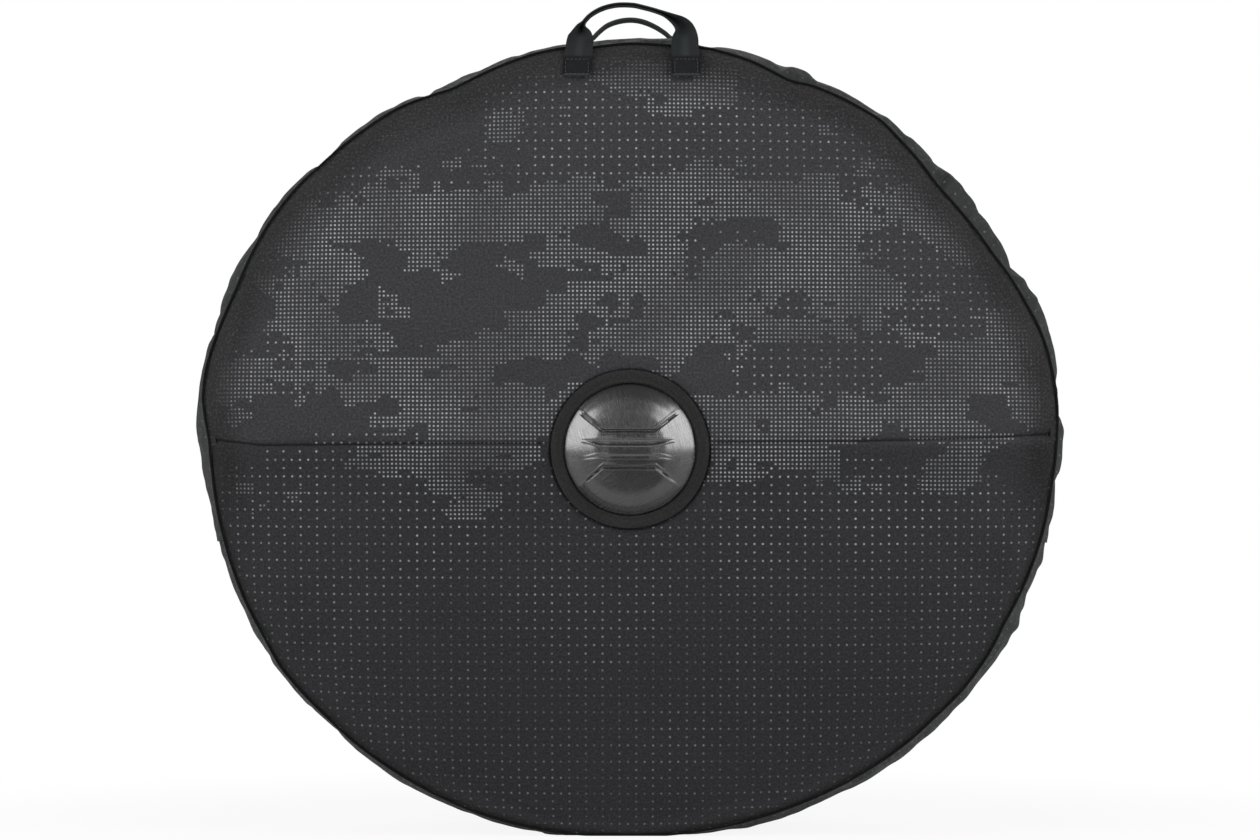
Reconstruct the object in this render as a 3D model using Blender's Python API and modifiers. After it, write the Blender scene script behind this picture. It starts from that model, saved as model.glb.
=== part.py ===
"""Padded round bag for two bicycle wheels, standing on its flat base with its front to -Y.

Metres, +Z up, origin on the floor below the middle of the bag. The back half, the foot and the lower
front are one soft shell. The front half above the fold is a lid that a zip closes over the top.
"""

from math import atan2, cos, degrees, hypot, pi, radians, sin, sqrt

import bmesh
import bpy
from mathutils import Matrix, Vector

# Overall size
BODY_WIDTH = 0.823
BODY_HEIGHT = 0.757
GUSSET_WIDTH = 0.200
OUTLINE_STEPS = 48
BASE_FLAT_STEPS = 1
SMOOTH_DEGREES = 38
MERGE_DISTANCE = 0.00001

# Layers of the walls, and the clearance that every touching pair keeps
CLEARANCE = 0.0003
CLOTH_THICKNESS = 0.002
GUSSET_PADDING = 0.004
PANEL_FOAM = 0.006
LINING_THICKNESS = 0.001

# Piped edge between panel and gusset
PIPING_RADIUS = 0.0025
PIPING_END_GAPS = 3
RIM_DROP = 0.010
PANEL_CROWN = 0.020

# Hub guard, sewn under a ring of cloth
HUB_DROP = 0.009
DOME_RADIUS = 0.063
DOME_HEIGHT = 0.022
DOME_WALL = 0.0024
FLANGE_WIDTH = 0.0075
FLANGE_THICKNESS = 0.0015
HUB_RING_BORDER = 0.004
HUB_RING_THICKNESS = 0.0016
HUB_HOLE_LAP = 0.007
HUB_SEAT_MARGIN = 0.003
GROOVE_RADIUS = 0.0016
GROOVE_DEPTH = 0.0012
GROOVE_RUN_STEPS = 2
TURNED_STEPS = 24

# Zip over the top, on a true arc
ZIP_TOP_DROP = 0.011
ZIP_SIDE_DROP = 0.0155
ZIP_END_STEPS = 14
ZIP_MOUTH = 0.022
TAPE_WIDTH = 0.0132
TAPE_THICKNESS = 0.001
TAPE_SPLIT = 0.0016
CHAIN_SPLIT = 0.002
CHAIN_WIDTH = 0.0038
CHAIN_HEIGHT = 0.0026
END_PATCH_WIDTH = 0.032
END_PATCH_THICKNESS = 0.001

# Zip slider and its pull
SLIDER_LENGTH = 0.026
SLIDER_WIDTH = 0.015
SLIDER_PLATE = 0.0014
SLIDER_TOP_CLEARANCE = 0.002
SLIDER_UNDER_CLEARANCE = 0.0016
SLIDER_POST_LENGTH = 0.005
SLIDER_POST_WIDTH = 0.0008
SLIDER_PARTING = 0.019
ARCH_WIDTH = 0.003
ARCH_EYE_LENGTH = 0.0046
ARCH_EYE_HEIGHT = 0.0036
ARCH_WALL = 0.0012
ARCH_LEG = 0.002
PULL_LENGTH = 0.033
PULL_WIDTH = 0.010
PULL_THICKNESS = 0.002
PULL_BAR = 0.0025
PULL_WINDOW_LENGTH = 0.0068
PULL_WINDOW_WIDTH = 0.0052

# Webbing handles
WEBBING_WIDTH = 0.026
WEBBING_THICKNESS = 0.0026
TAB_HEIGHT = 0.0175
TAB_TOP_DROP = 0.018
TAB_CENTRE = 0.0515
HANDLE_HEIGHT = 0.0499
GRIP_LAYERS = 2
HANDLE_CLEARANCE = 0.0005

# Fold under the lid
FOLD_GAP = 0.002
FOLD_AXIS_PROUD = 0.001

# Divider between the two wheels
DIVIDER_FOAM = 0.006
DIVIDER_ZIP_ROOM = 0.014
DIVIDER_FOOT_GAP = 0.0006
BINDING_THICKNESS = 0.0012
BINDING_WIDTH = 0.0088
DIVIDER_PATCH_RADIUS = 0.040
DIVIDER_PATCH_THICKNESS = 0.0012

# Forms as shares of the sizes that they follow, chosen by hand
PANEL_CLOTH_shares = (0.0, 0.55, 0.82, 1.0)
PANEL_CORE_shares = (0.55, 1.0)
CROWN_POWER = 3
SOFT_EDGE_share = 0.2
ROUNDED_EDGE_share = 0.33
GUSSET_SHOULDER_share = 0.75
GUSSET_CREST_share = 0.48
GUSSET_ROUNDING_POWER = 4
VALLEY_FOOT_share = 0.85
DOME_PROFILE_shares = ((0.0, 1.0), (0.30, 0.94), (0.55, 0.79), (0.78, 0.54), (0.92, 0.31), (0.985, 0.15))
CHAIN_SECTION_shares = ((0.0, 0.0), (0.0, 0.75), (0.35, 1.0), (0.75, 0.9), (1.0, 0.35), (1.0, 0.0))
# Grooves of the hub guard, across and up from its centre, as shares of the dome's radius
OUTER_GROOVE_shares = ((-0.74, 0.56), (-0.42, 0.29), (0.40, 0.29), (0.74, 0.57))
INNER_GROOVE_shares = ((-0.70, 0.15), (-0.42, 0.07), (0.36, 0.07), (0.66, 0.15))
SLIDER_OUTLINE_shares = ((-0.5, 0.18), (-0.42, 0.36), (-0.2, 0.42), (0.1, 0.5), (0.42, 0.46), (0.5, 0.25))
PULL_OUTLINE_shares = ((0.04, 0.5), (0.35, 0.5), (0.55, 0.36), (0.9, 0.36), (1.0, 0.2))
# Handle centre line, across as a share of the tabs' centre distance and up as a share of its height,
# with the fold of the webbing from flat on the panel (0) to folded double and edge-on (1)
HANDLE_LINE_shares = (
    (1.00, 0.0, 0.0),
    (0.99, 0.16, 0.0),
    (0.96, 0.34, 0.12),
    (0.89, 0.52, 0.5),
    (0.77, 0.68, 0.88),
    (0.58, 0.82, 1.0),
    (0.32, 0.94, 1.0),
    (0.0, 1.0, 1.0),
)
HANDLE_ROOT_shares = ((-0.96, 0.23), (-0.46, 0.88))

# Worked out from the sizes above
HALF_WIDTH = BODY_WIDTH / 2
STEP = 2 * pi / OUTLINE_STEPS
HALF_HEIGHT = BODY_HEIGHT / (1 + cos(BASE_FLAT_STEPS * STEP))
CENTRE_Z = BODY_HEIGHT - HALF_HEIGHT
HUB_HEIGHT = CENTRE_Z - HUB_DROP
FLANGE_RADIUS = DOME_RADIUS + FLANGE_WIDTH
HUB_RING_RADIUS = FLANGE_RADIUS + HUB_RING_BORDER
HUB_HOLE_RADIUS = DOME_RADIUS - HUB_HOLE_LAP
PANEL_FACE = GUSSET_WIDTH / 2 + CLOTH_THICKNESS / 2 - CLEARANCE
PANEL_EDGE_INSET = RIM_DROP + PIPING_RADIUS + CLEARANCE
GUSSET_EDGE = GUSSET_WIDTH / 2 - PIPING_RADIUS - CLEARANCE
GUSSET_EDGE_INSET = RIM_DROP - CLOTH_THICKNESS / 2
FOAM_DROP = CLOTH_THICKNESS + CLEARANCE
LINING_DROP = FOAM_DROP + PANEL_FOAM + CLEARANCE
PADDING_EDGE = PANEL_FACE - LINING_DROP - LINING_THICKNESS - CLEARANCE
TRACK_RADIUS = HALF_WIDTH - ZIP_SIDE_DROP
TRACK_Z = BODY_HEIGHT - ZIP_TOP_DROP - TRACK_RADIUS
MOUTH_EDGE = ZIP_MOUTH / 2
TAPE_INNER = TAPE_SPLIT / 2
TAPE_OUTER = TAPE_INNER + TAPE_WIDTH
PADDING_MOUTH = TAPE_OUTER + CLOTH_THICKNESS
ZIP_END = ZIP_END_STEPS * STEP
END_GAP = CLEARANCE / HALF_WIDTH
HUB_SEAT_RADIUS = HUB_RING_RADIUS + HUB_SEAT_MARGIN
SEAT_FACE = PANEL_FACE + PANEL_CROWN

collection = bpy.data.collections.new("wheel_bag")
helpers = bpy.data.collections.new("cutters")


def clear_scene():
    for obj in list(bpy.data.objects):
        bpy.data.objects.remove(obj, do_unlink=True)
    bpy.context.scene.collection.children.link(collection)
    bpy.context.scene.collection.children.link(helpers)


def finish_of(name, colour, roughness, metallic=0.0):
    """A plain Principled finish for one piece."""
    finish = bpy.data.materials.new(name)
    finish.use_nodes = True
    shader = finish.node_tree.nodes["Principled BSDF"]
    shader.inputs["Base Color"].default_value = (*colour, 1.0)
    shader.inputs["Roughness"].default_value = roughness
    shader.inputs["Metallic"].default_value = metallic
    return finish


CLOTH_LOOK = ((0.030, 0.030, 0.034), 0.75)
LINING_LOOK = ((0.10, 0.10, 0.11), 0.80)
FOAM_LOOK = ((0.16, 0.16, 0.17), 0.90)
WEBBING_LOOK = ((0.018, 0.020, 0.020), 0.65)
TRIM_LOOK = ((0.012, 0.012, 0.012), 0.55)
GUARD_LOOK = ((0.010, 0.010, 0.011), 0.25)
METAL_LOOK = ((0.05, 0.05, 0.055), 0.35, 1.0)


def add(name, data, look=None, smooth=True):
    """Links a new object for this mesh or curve, with a finish of its own. No look makes it a helper."""
    obj = bpy.data.objects.new(name, data)
    if look is None:
        helpers.objects.link(obj)
        obj.hide_render = True
        obj.display_type = "WIRE"
        return obj
    collection.objects.link(obj)
    data.materials.append(finish_of(name, *look))
    if smooth and obj.type == "MESH":
        data.shade_smooth()
        data.set_sharp_from_angle(angle=radians(SMOOTH_DEGREES))
    return obj


def mesh_from(bm, name):
    bmesh.ops.recalc_face_normals(bm, faces=bm.faces)
    mesh = bpy.data.meshes.new(name)
    bm.to_mesh(mesh)
    bm.free()
    return mesh


def pivot(name, place):
    """An empty on a joint's axis, which carries the pieces that turn about it."""
    empty = bpy.data.objects.new(name, None)
    empty.location = place
    collection.objects.link(empty)
    bpy.context.view_layer.update()
    return empty


def carry(empty, *pieces):
    """Parents pieces, which are modelled in place, without moving them."""
    for piece in pieces:
        piece.parent = empty
        piece.matrix_parent_inverse = empty.matrix_world.inverted()


def wall_point(turn, inset, y, floor=0.0):
    """A point of the oval wall at this turn from its top, moved in along its normal, and no lower than the
    floor of its layer."""
    x, z = HALF_WIDTH * sin(turn), HALF_HEIGHT * cos(turn)
    across, up = HALF_HEIGHT * sin(turn), HALF_WIDTH * cos(turn)
    length = hypot(across, up)
    z = CENTRE_Z + z - inset * up / length
    return Vector((x - inset * across / length, y, max(z, floor)))


def track_inset(turn, radius):
    """How far in from the outline the zip's arc of this radius lies, along the outline's normal."""
    start = wall_point(turn, 0, 0)
    inward = wall_point(turn, HALF_HEIGHT / 2, 0) - start
    inward.normalize()
    offset = start - Vector((0, 0, TRACK_Z))
    along = offset.dot(inward)
    return -along - sqrt(along * along - offset.length_squared + radius * radius)


def rounding(y):
    """How far the gusset falls away from its outline at this distance from its middle."""
    return GUSSET_EDGE_INSET * (abs(y) / GUSSET_EDGE) ** GUSSET_ROUNDING_POWER


def strip_padding_stations(turn):
    """The zipped gusset's section where it is padded, from the panel over its crest towards the zip."""
    shoulder = GUSSET_SHOULDER_share * GUSSET_EDGE
    return [
        (PADDING_EDGE, rounding(PADDING_EDGE)),
        (shoulder, rounding(shoulder)),
        (GUSSET_CREST_share * GUSSET_EDGE, 0),
        (PADDING_MOUTH, valley_depth(turn) * VALLEY_FOOT_share),
    ]


def valley_depth(turn):
    """How far in from the outline the cloth's outside lies where it meets the zip's tape."""
    return track_inset(turn, TRACK_RADIUS) - CLEARANCE - CLOTH_THICKNESS


def strip_stations(turn):
    """The zipped gusset's whole section, from the piped edge down to the zip's mouth."""
    edge, mouth = (GUSSET_EDGE, GUSSET_EDGE_INSET), (MOUTH_EDGE, valley_depth(turn))
    return [edge, *strip_padding_stations(turn), mouth]


def base_padding_stations(turn):
    """The section of the foot where it is padded, from side to side."""
    half = [PADDING_EDGE, GUSSET_SHOULDER_share * GUSSET_EDGE, GUSSET_CREST_share * GUSSET_EDGE]
    return [(y, rounding(y)) for y in [-y for y in half] + half[::-1]]


def base_stations(turn):
    """The whole section of the foot, from one piped edge to the other."""
    return [(-GUSSET_EDGE, GUSSET_EDGE_INSET), *base_padding_stations(turn), (GUSSET_EDGE, GUSSET_EDGE_INSET)]


def patch_stations(turn):
    """The section of the patch over an end of the zip."""
    inset = rounding(GUSSET_CREST_share * GUSSET_EDGE)
    return [(-END_PATCH_WIDTH / 2, inset), (END_PATCH_WIDTH / 2, inset)]


def loft(name, sections, look, ring=False):
    """A closed solid through sections of like point counts, its ends capped unless it is a ring. The second
    half of a section runs back under the first, and both are split along the same diagonals."""
    bm = bmesh.new()
    rows = [[bm.verts.new(point) for point in section] for section in sections]
    following = rows[1:] + rows[:1] if ring else rows[1:]
    for near, far in zip(rows, following):
        for i, vertex in enumerate(near):
            j = (i + 1) % len(near)
            under = i >= len(near) // 2
            start, end = (near[j], far[i]) if under else (vertex, far[j])
            bm.faces.new((start, far[j] if under else near[j], end))
            bm.faces.new((start, end, vertex if under else far[i]))
    if not ring:
        bm.faces.new(rows[0])
        bm.faces.new(rows[-1])
    return add(name, mesh_from(bm, name), look)


def wall_band(name, turns, stations_at, side, drop, thickness, look):
    """One layer of gusset wall along these turns. Side is -1 for the front and 1 for the back."""
    sections = []
    back = drop + thickness
    for turn in turns:
        stations = stations_at(turn)
        outer = [wall_point(turn, inset + drop, side * y, drop) for y, inset in stations]
        inner = [wall_point(turn, inset + back, side * y, back) for y, inset in reversed(stations)]
        sections.append(outer + inner)
    return loft(name, sections, look)


def turns_between(first, last, gap=0.0):
    """The outline's steps from one step number to another, the ends drawn in by half a gap."""
    turns = [step * STEP for step in range(first, last + 1)]
    turns[0] += gap / 2
    turns[-1] -= gap / 2
    return turns


ZIP_TURNS = turns_between(-ZIP_END_STEPS, ZIP_END_STEPS, END_GAP)
BASE_TURNS = turns_between(ZIP_END_STEPS, OUTLINE_STEPS - ZIP_END_STEPS, END_GAP)


def make_gusset():
    """The gusset's cloth and padding, and the patches that cover the zip's two ends."""
    padding = (CLOTH_THICKNESS + CLEARANCE, GUSSET_PADDING, FOAM_LOOK)
    for place, side in (("front", -1), ("rear", 1)):
        wall_band(f"{place}_gusset_cloth", ZIP_TURNS, strip_stations, side, 0, CLOTH_THICKNESS, CLOTH_LOOK)
        wall_band(f"{place}_gusset_padding", ZIP_TURNS, strip_padding_stations, side, *padding)
    wall_band("base_gusset_cloth", BASE_TURNS, base_stations, 1, 0, CLOTH_THICKNESS, CLOTH_LOOK)
    wall_band("base_gusset_padding", BASE_TURNS, base_padding_stations, 1, *padding)
    patch_drop = -CLEARANCE - END_PATCH_THICKNESS
    for place, turns in (("right", BASE_TURNS[:2]), ("left", BASE_TURNS[-2:])):
        name = f"{place}_zip_end_patch"
        wall_band(name, turns, patch_stations, 1, patch_drop, END_PATCH_THICKNESS, WEBBING_LOOK)


def tube(name, points, radius, look, cyclic=False):
    """A round cord through points, as a curve with a filled bevel."""
    curve = bpy.data.curves.new(name, "CURVE")
    curve.dimensions = "3D"
    spline = curve.splines.new("POLY")
    spline.points.add(len(points) - 1)
    for spot, point in zip(spline.points, points):
        spot.co = (*point, 1.0)
    spline.use_cyclic_u = cyclic
    curve.bevel_depth = radius
    curve.bevel_resolution = 1
    curve.use_fill_caps = not cyclic
    return add(name, curve, look)


def make_piping():
    """The corded edges: a whole loop at the back, and one in two lengths at the front."""
    def run(side, turns):
        return [wall_point(turn, RIM_DROP, side * GUSSET_WIDTH / 2) for turn in turns]

    full_turn = [step * STEP for step in range(OUTLINE_STEPS)]
    cord_gap = END_GAP * PIPING_END_GAPS
    upper_turns = turns_between(-ZIP_END_STEPS, ZIP_END_STEPS, cord_gap)
    lower_turns = turns_between(ZIP_END_STEPS, OUTLINE_STEPS - ZIP_END_STEPS, cord_gap)
    tube("rear_piping", run(1, full_turn), PIPING_RADIUS, TRIM_LOOK, cyclic=True)
    tube("front_piping_upper", run(-1, upper_turns), PIPING_RADIUS, TRIM_LOOK)
    tube("front_piping_lower", run(-1, lower_turns), PIPING_RADIUS, TRIM_LOOK)


def panel_row(turn_count, side, drop, place):
    """One ring of points of a panel. Place is ('radius', r) about the hub, or ('share', s) of the way
    from the hub's seat to the rim."""
    kind, value = place
    row = []
    for step in range(turn_count):
        rim = wall_point(step * STEP, PANEL_EDGE_INSET, 0)
        hub = Vector((0, 0, HUB_HEIGHT))
        way = (rim - hub).normalized()
        seat = hub + way * HUB_SEAT_RADIUS
        share = value if kind == "share" else 0
        point = hub + way * value if kind == "radius" else seat + (rim - seat) * share
        crown = PANEL_CROWN * (1 - share**CROWN_POWER)
        point.y = side * (PANEL_FACE + crown - drop)
        row.append(point)
    return row


def panel_layer(name, side, drop, thickness, shares, look, keep=None):
    """A crowned layer of a panel round the hub's hole. Keep says which side of the fold stays."""
    bm = bmesh.new()
    places = [("radius", HUB_HOLE_RADIUS)] + [("share", share) for share in shares]
    rows = [[bm.verts.new(p) for p in panel_row(OUTLINE_STEPS, side, drop, place)] for place in places]
    for near, far in zip(rows, rows[1:]):
        for i, vertex in enumerate(near):
            j = (i + 1) % len(near)
            face = bm.faces.new((vertex, near[j], far[j], far[i]))
            face.normal_update()
            if face.normal.y * side < 0:
                face.normal_flip()
    if keep:
        cut = Vector((0, 0, FOLD_Z + keep * FOLD_GAP / 2))
        every = bm.verts[:] + bm.edges[:] + bm.faces[:]
        bmesh.ops.bisect_plane(bm, geom=every, plane_co=cut, plane_no=(0, 0, -keep), clear_outer=True)
    mesh = bpy.data.meshes.new(name)
    bm.to_mesh(mesh)
    bm.free()
    obj = add(name, mesh, look)
    shell = obj.modifiers.new("thickness", "SOLIDIFY")
    shell.thickness = thickness
    shell.offset = -1
    shell.use_even_offset = False
    return obj


FOLD_Z = wall_point(ZIP_END, 0, 0).z


def make_panels():
    """Cloth, foam and lining of the back panel, the lid and the lower front."""
    for place, side, keep in (("back_panel", 1, 0), ("lid_panel", -1, 1), ("front_apron", -1, -1)):
        cloth_args = (0, CLOTH_THICKNESS, PANEL_CLOTH_shares, CLOTH_LOOK, keep)
        foam_args = (FOAM_DROP, PANEL_FOAM, PANEL_CORE_shares, FOAM_LOOK, keep)
        lining_args = (LINING_DROP, LINING_THICKNESS, PANEL_CORE_shares, LINING_LOOK, keep)
        panel_layer(f"{place}_cloth", side, *cloth_args)
        panel_layer(f"{place}_foam", side, *foam_args)
        panel_layer(f"{place}_lining", side, *lining_args)


def dome_profile():
    """Half section of the hub guard: over the outside, round the flange and back up the inside."""
    outer = [(r * DOME_RADIUS, h * DOME_HEIGHT) for r, h in DOME_PROFILE_shares]
    inner_radius, inner_height = DOME_RADIUS - DOME_WALL, DOME_HEIGHT - DOME_WALL
    inner = [(r * inner_radius, h * inner_height) for r, h in reversed(DOME_PROFILE_shares[::2])]
    edge = [(DOME_RADIUS, FLANGE_THICKNESS), (FLANGE_RADIUS, FLANGE_THICKNESS)]
    flange = edge + [(FLANGE_RADIUS, 0), (inner_radius, 0)]
    return outer + flange + inner


def hub_ring_profile():
    """Half section of the cloth ring, stepped over the guard's flange."""
    inner = DOME_RADIUS + 2 * CLEARANCE
    step = FLANGE_RADIUS + CLEARANCE
    under = FLANGE_THICKNESS + CLEARANCE
    top = under + HUB_RING_THICKNESS
    round_off = HUB_RING_THICKNESS * ROUNDED_EDGE_share
    return [
        (inner, top - round_off),
        (inner + round_off, top),
        (HUB_RING_RADIUS - round_off, top),
        (HUB_RING_RADIUS, top - round_off),
        (HUB_RING_RADIUS, 0),
        (step, 0),
        (step, under),
        (inner, under),
    ]


def turned(name, profile, look, closed):
    """A profile in X (radius) and Z (height) turned about Z."""
    mesh = bpy.data.meshes.new(name)
    points = [(r, 0, h) for r, h in profile]
    edges = [(i, i + 1) for i in range(len(points) - 1)]
    if closed:
        edges.append((len(points) - 1, 0))
    mesh.from_pydata(points, edges, [])
    obj = add(name, mesh, look)
    screw = obj.modifiers.new("turn", "SCREW")
    screw.steps = TURNED_STEPS
    screw.render_steps = TURNED_STEPS
    screw.use_merge_vertices = True
    screw.merge_threshold = MERGE_DISTANCE
    return obj


def dome_surface(radius):
    """Height of the guard's outside at this radius, on the straight runs of its profile."""
    profile = [(r * DOME_RADIUS, h * DOME_HEIGHT) for r, h in DOME_PROFILE_shares]
    for (r0, h0), (r1, h1) in zip(profile, profile[1:]):
        if r0 <= radius <= r1:
            return h0 + (h1 - h0) * (radius - r0) / (r1 - r0)
    return profile[-1][1]


def groove_cutter(name, shares, mirror):
    """A cord laid on the guard's outside, as a mesh that presses one groove."""
    corners = [(x * DOME_RADIUS, y * DOME_RADIUS * mirror) for x, y in shares]
    points = []
    for (x0, y0), (x1, y1) in zip(corners, corners[1:]):
        for step in range(GROOVE_RUN_STEPS):
            part = step / GROOVE_RUN_STEPS
            points.append((x0 + (x1 - x0) * part, y0 + (y1 - y0) * part))
    points.append(corners[-1])
    lift = GROOVE_RADIUS - GROOVE_DEPTH
    line = [(x, y, dome_surface(hypot(x, y)) + lift) for x, y in points]
    cord = tube(name, line, GROOVE_RADIUS, None)
    bpy.context.view_layer.update()
    graph = bpy.context.evaluated_depsgraph_get()
    mesh = bpy.data.meshes.new_from_object(cord.evaluated_get(graph))
    bpy.data.objects.remove(cord)
    bm = bmesh.new()
    bm.from_mesh(mesh)
    bmesh.ops.remove_doubles(bm, verts=bm.verts, dist=MERGE_DISTANCE)
    return add(name, mesh_from(bm, name), None)


def make_hub_guards():
    """The domed guards over the axle ends, with their pressed grooves, and the rings that hold them."""
    facing = {"front": Matrix.Rotation(pi / 2, 4, "X")}
    facing["rear"] = Matrix.Rotation(pi, 4, "Z") @ facing["front"]
    for place, side in (("front", -1), ("rear", 1)):
        dome = turned(f"{place}_hub_guard", dome_profile(), GUARD_LOOK, closed=False)
        ring = turned(f"{place}_hub_ring", hub_ring_profile(), CLOTH_LOOK, closed=True)
        seat = Matrix.Translation((0, side * (SEAT_FACE + CLEARANCE), HUB_HEIGHT)) @ facing[place]
        dome.matrix_world = seat
        ring.matrix_world = seat
        grooves = (("outer", OUTER_GROOVE_shares), ("inner", INNER_GROOVE_shares))
        for kind, shares in grooves:
            for level, mirror in (("top", 1), ("bottom", -1)):
                cutter = groove_cutter(f"{place}_{kind}_{level}_groove", shares, mirror)
                cutter.matrix_world = seat
                press = dome.modifiers.new(f"{kind}_{level}", "BOOLEAN")
                press.operation = "DIFFERENCE"
                press.solver = "EXACT"
                press.object = cutter


def make_zip():
    """The two tapes and the two halves of the chain, one on each side of the split."""
    for place, side in (("front", -1), ("rear", 1)):
        tape, chain = [], []
        for turn in ZIP_TURNS:
            face = track_inset(turn, TRACK_RADIUS)
            back = face + TAPE_THICKNESS
            corners = ((TAPE_INNER, face), (TAPE_OUTER, face), (TAPE_OUTER, back), (TAPE_INNER, back))
            tape.append([wall_point(turn, inset, side * y) for y, inset in corners])
            foot = face - CLEARANCE
            section = []
            for across, up in CHAIN_SECTION_shares:
                y = CHAIN_SPLIT / 2 + across * CHAIN_WIDTH
                section.append(wall_point(turn, foot - up * CHAIN_HEIGHT, side * y))
            chain.append(section)
        loft(f"{place}_zip_tape", tape, WEBBING_LOOK)
        loft(f"{place}_zip_chain", chain, TRIM_LOOK)


def prism(name, outline, low, high, look, across="Z"):
    """A flat outline extruded between two levels. Across is the axis that it is extruded along."""
    bm = bmesh.new()
    if across == "Z":
        places = [(a, b, low) for a, b in outline]
        lift = Vector((0, 0, high - low))
    else:
        places = [(a, low, b) for a, b in outline]
        lift = Vector((0, high - low, 0))
    face = bm.faces.new([bm.verts.new(place) for place in places])
    grown = bmesh.ops.extrude_face_region(bm, geom=[face])
    moved = [item for item in grown["geom"] if isinstance(item, bmesh.types.BMVert)]
    bmesh.ops.translate(bm, verts=moved, vec=lift)
    return add(name, mesh_from(bm, name), look)


def block(name, size, centre, look, edge=0.0):
    """A box of this size, with its edges rounded where an edge radius is given."""
    bm = bmesh.new()
    bmesh.ops.create_cube(bm, size=1.0)
    bmesh.ops.scale(bm, vec=size, verts=bm.verts)
    bmesh.ops.translate(bm, vec=centre, verts=bm.verts)
    obj = add(name, mesh_from(bm, name), look)
    if edge:
        rounding = obj.modifiers.new("edges", "BEVEL")
        rounding.width = edge
        rounding.segments = 1
    return obj


def combine(body, operation, *others):
    for other in others:
        step = body.modifiers.new(other.name, "BOOLEAN")
        step.operation = operation
        step.solver = "EXACT"
        step.object = other


def make_slider(place, side):
    """One slider at the top of the zip's arc, then turned to its side of the middle."""
    under = TRACK_RADIUS + CLEARANCE + CHAIN_HEIGHT + SLIDER_TOP_CLEARANCE
    top = under + SLIDER_PLATE
    foot_top = TRACK_RADIUS - TAPE_THICKNESS - SLIDER_UNDER_CLEARANCE
    foot = foot_top - SLIDER_PLATE
    right = [(x * SLIDER_LENGTH, y * SLIDER_WIDTH) for x, y in SLIDER_OUTLINE_shares]
    outline = right + [(x, -y) for x, y in reversed(right)]
    name = f"{place}_zip_slider"
    body = prism(name, outline, under, top, METAL_LOOK)
    lower = prism(f"{name}_foot", outline, foot, foot_top, None)
    overlap = SLIDER_PLATE / 2
    post_height = under - foot_top + 2 * overlap
    post_x = SLIDER_OUTLINE_shares[-1][0] * SLIDER_LENGTH - SLIDER_POST_LENGTH
    post_centre = (post_x, 0, foot_top - overlap + post_height / 2)
    post = block(f"{name}_post", (SLIDER_POST_LENGTH, SLIDER_POST_WIDTH, post_height), post_centre, None)
    eye, rise = ARCH_EYE_LENGTH / 2, top + ARCH_EYE_HEIGHT
    leg = eye + ARCH_LEG
    sunk = top - overlap
    arch_outline = [
        (-leg, sunk),
        (-leg, rise),
        (-eye, rise + ARCH_WALL),
        (eye, rise + ARCH_WALL),
        (leg, rise),
        (leg, sunk),
        (eye, sunk),
        (eye, rise),
        (-eye, rise),
        (-eye, sunk),
    ]
    arch = prism(f"{name}_arch", arch_outline, -ARCH_WIDTH / 2, ARCH_WIDTH / 2, None, across="Y")
    combine(body, "UNION", lower, post, arch)

    axis_height = top + ARCH_EYE_HEIGHT / 2
    bar = PULL_BAR / 2
    upper = [(x * PULL_LENGTH, y * PULL_WIDTH) for x, y in PULL_OUTLINE_shares]
    lower_edge = [(x, -y) for x, y in reversed(upper)]
    pull_outline = [(-bar, -PULL_WIDTH / 2), (-bar, PULL_WIDTH / 2)] + upper + lower_edge
    pull_outline.reverse()
    low = axis_height - PULL_THICKNESS / 2
    pull = prism(f"{place}_zip_pull", pull_outline, low, low + PULL_THICKNESS, METAL_LOOK)
    window_size = (PULL_WINDOW_LENGTH, PULL_WINDOW_WIDTH, PULL_THICKNESS + PULL_BAR)
    window_centre = (bar + PULL_WINDOW_LENGTH / 2, 0, axis_height)
    window = block(f"{name}_window", window_size, window_centre, None)
    combine(pull, "DIFFERENCE", window)

    angle = side * SLIDER_PARTING / TRACK_RADIUS
    flip = Matrix.Identity(4) if side > 0 else Matrix.Rotation(pi, 4, "Z")
    place_at = Matrix.Translation((0, 0, TRACK_Z)) @ Matrix.Rotation(angle, 4, "Y") @ flip
    for piece in (body, lower, post, arch, pull, window):
        piece.matrix_world = place_at
    bpy.context.view_layer.update()
    carry(pivot(f"{place}_slider_axis", (0, 0, TRACK_Z)), body)
    carry(pivot(f"{place}_pull_axis", place_at @ Vector((0, 0, axis_height))), pull)


def tab_place(side):
    """Where a handle's tab lies on the panel: its top and bottom on the cloth, and the slope there."""
    rim = wall_point(0, PANEL_EDGE_INSET, 0).z
    seat = HUB_HEIGHT + HUB_SEAT_RADIUS
    outer_share = PANEL_CLOTH_shares[-2]
    knee = seat + (rim - seat) * outer_share
    slope = PANEL_CROWN * (1 - outer_share**CROWN_POWER) / (rim - knee)
    top = BODY_HEIGHT - TAB_TOP_DROP
    face = PANEL_FACE + (rim - top) * slope
    return top, side * face, slope


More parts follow.
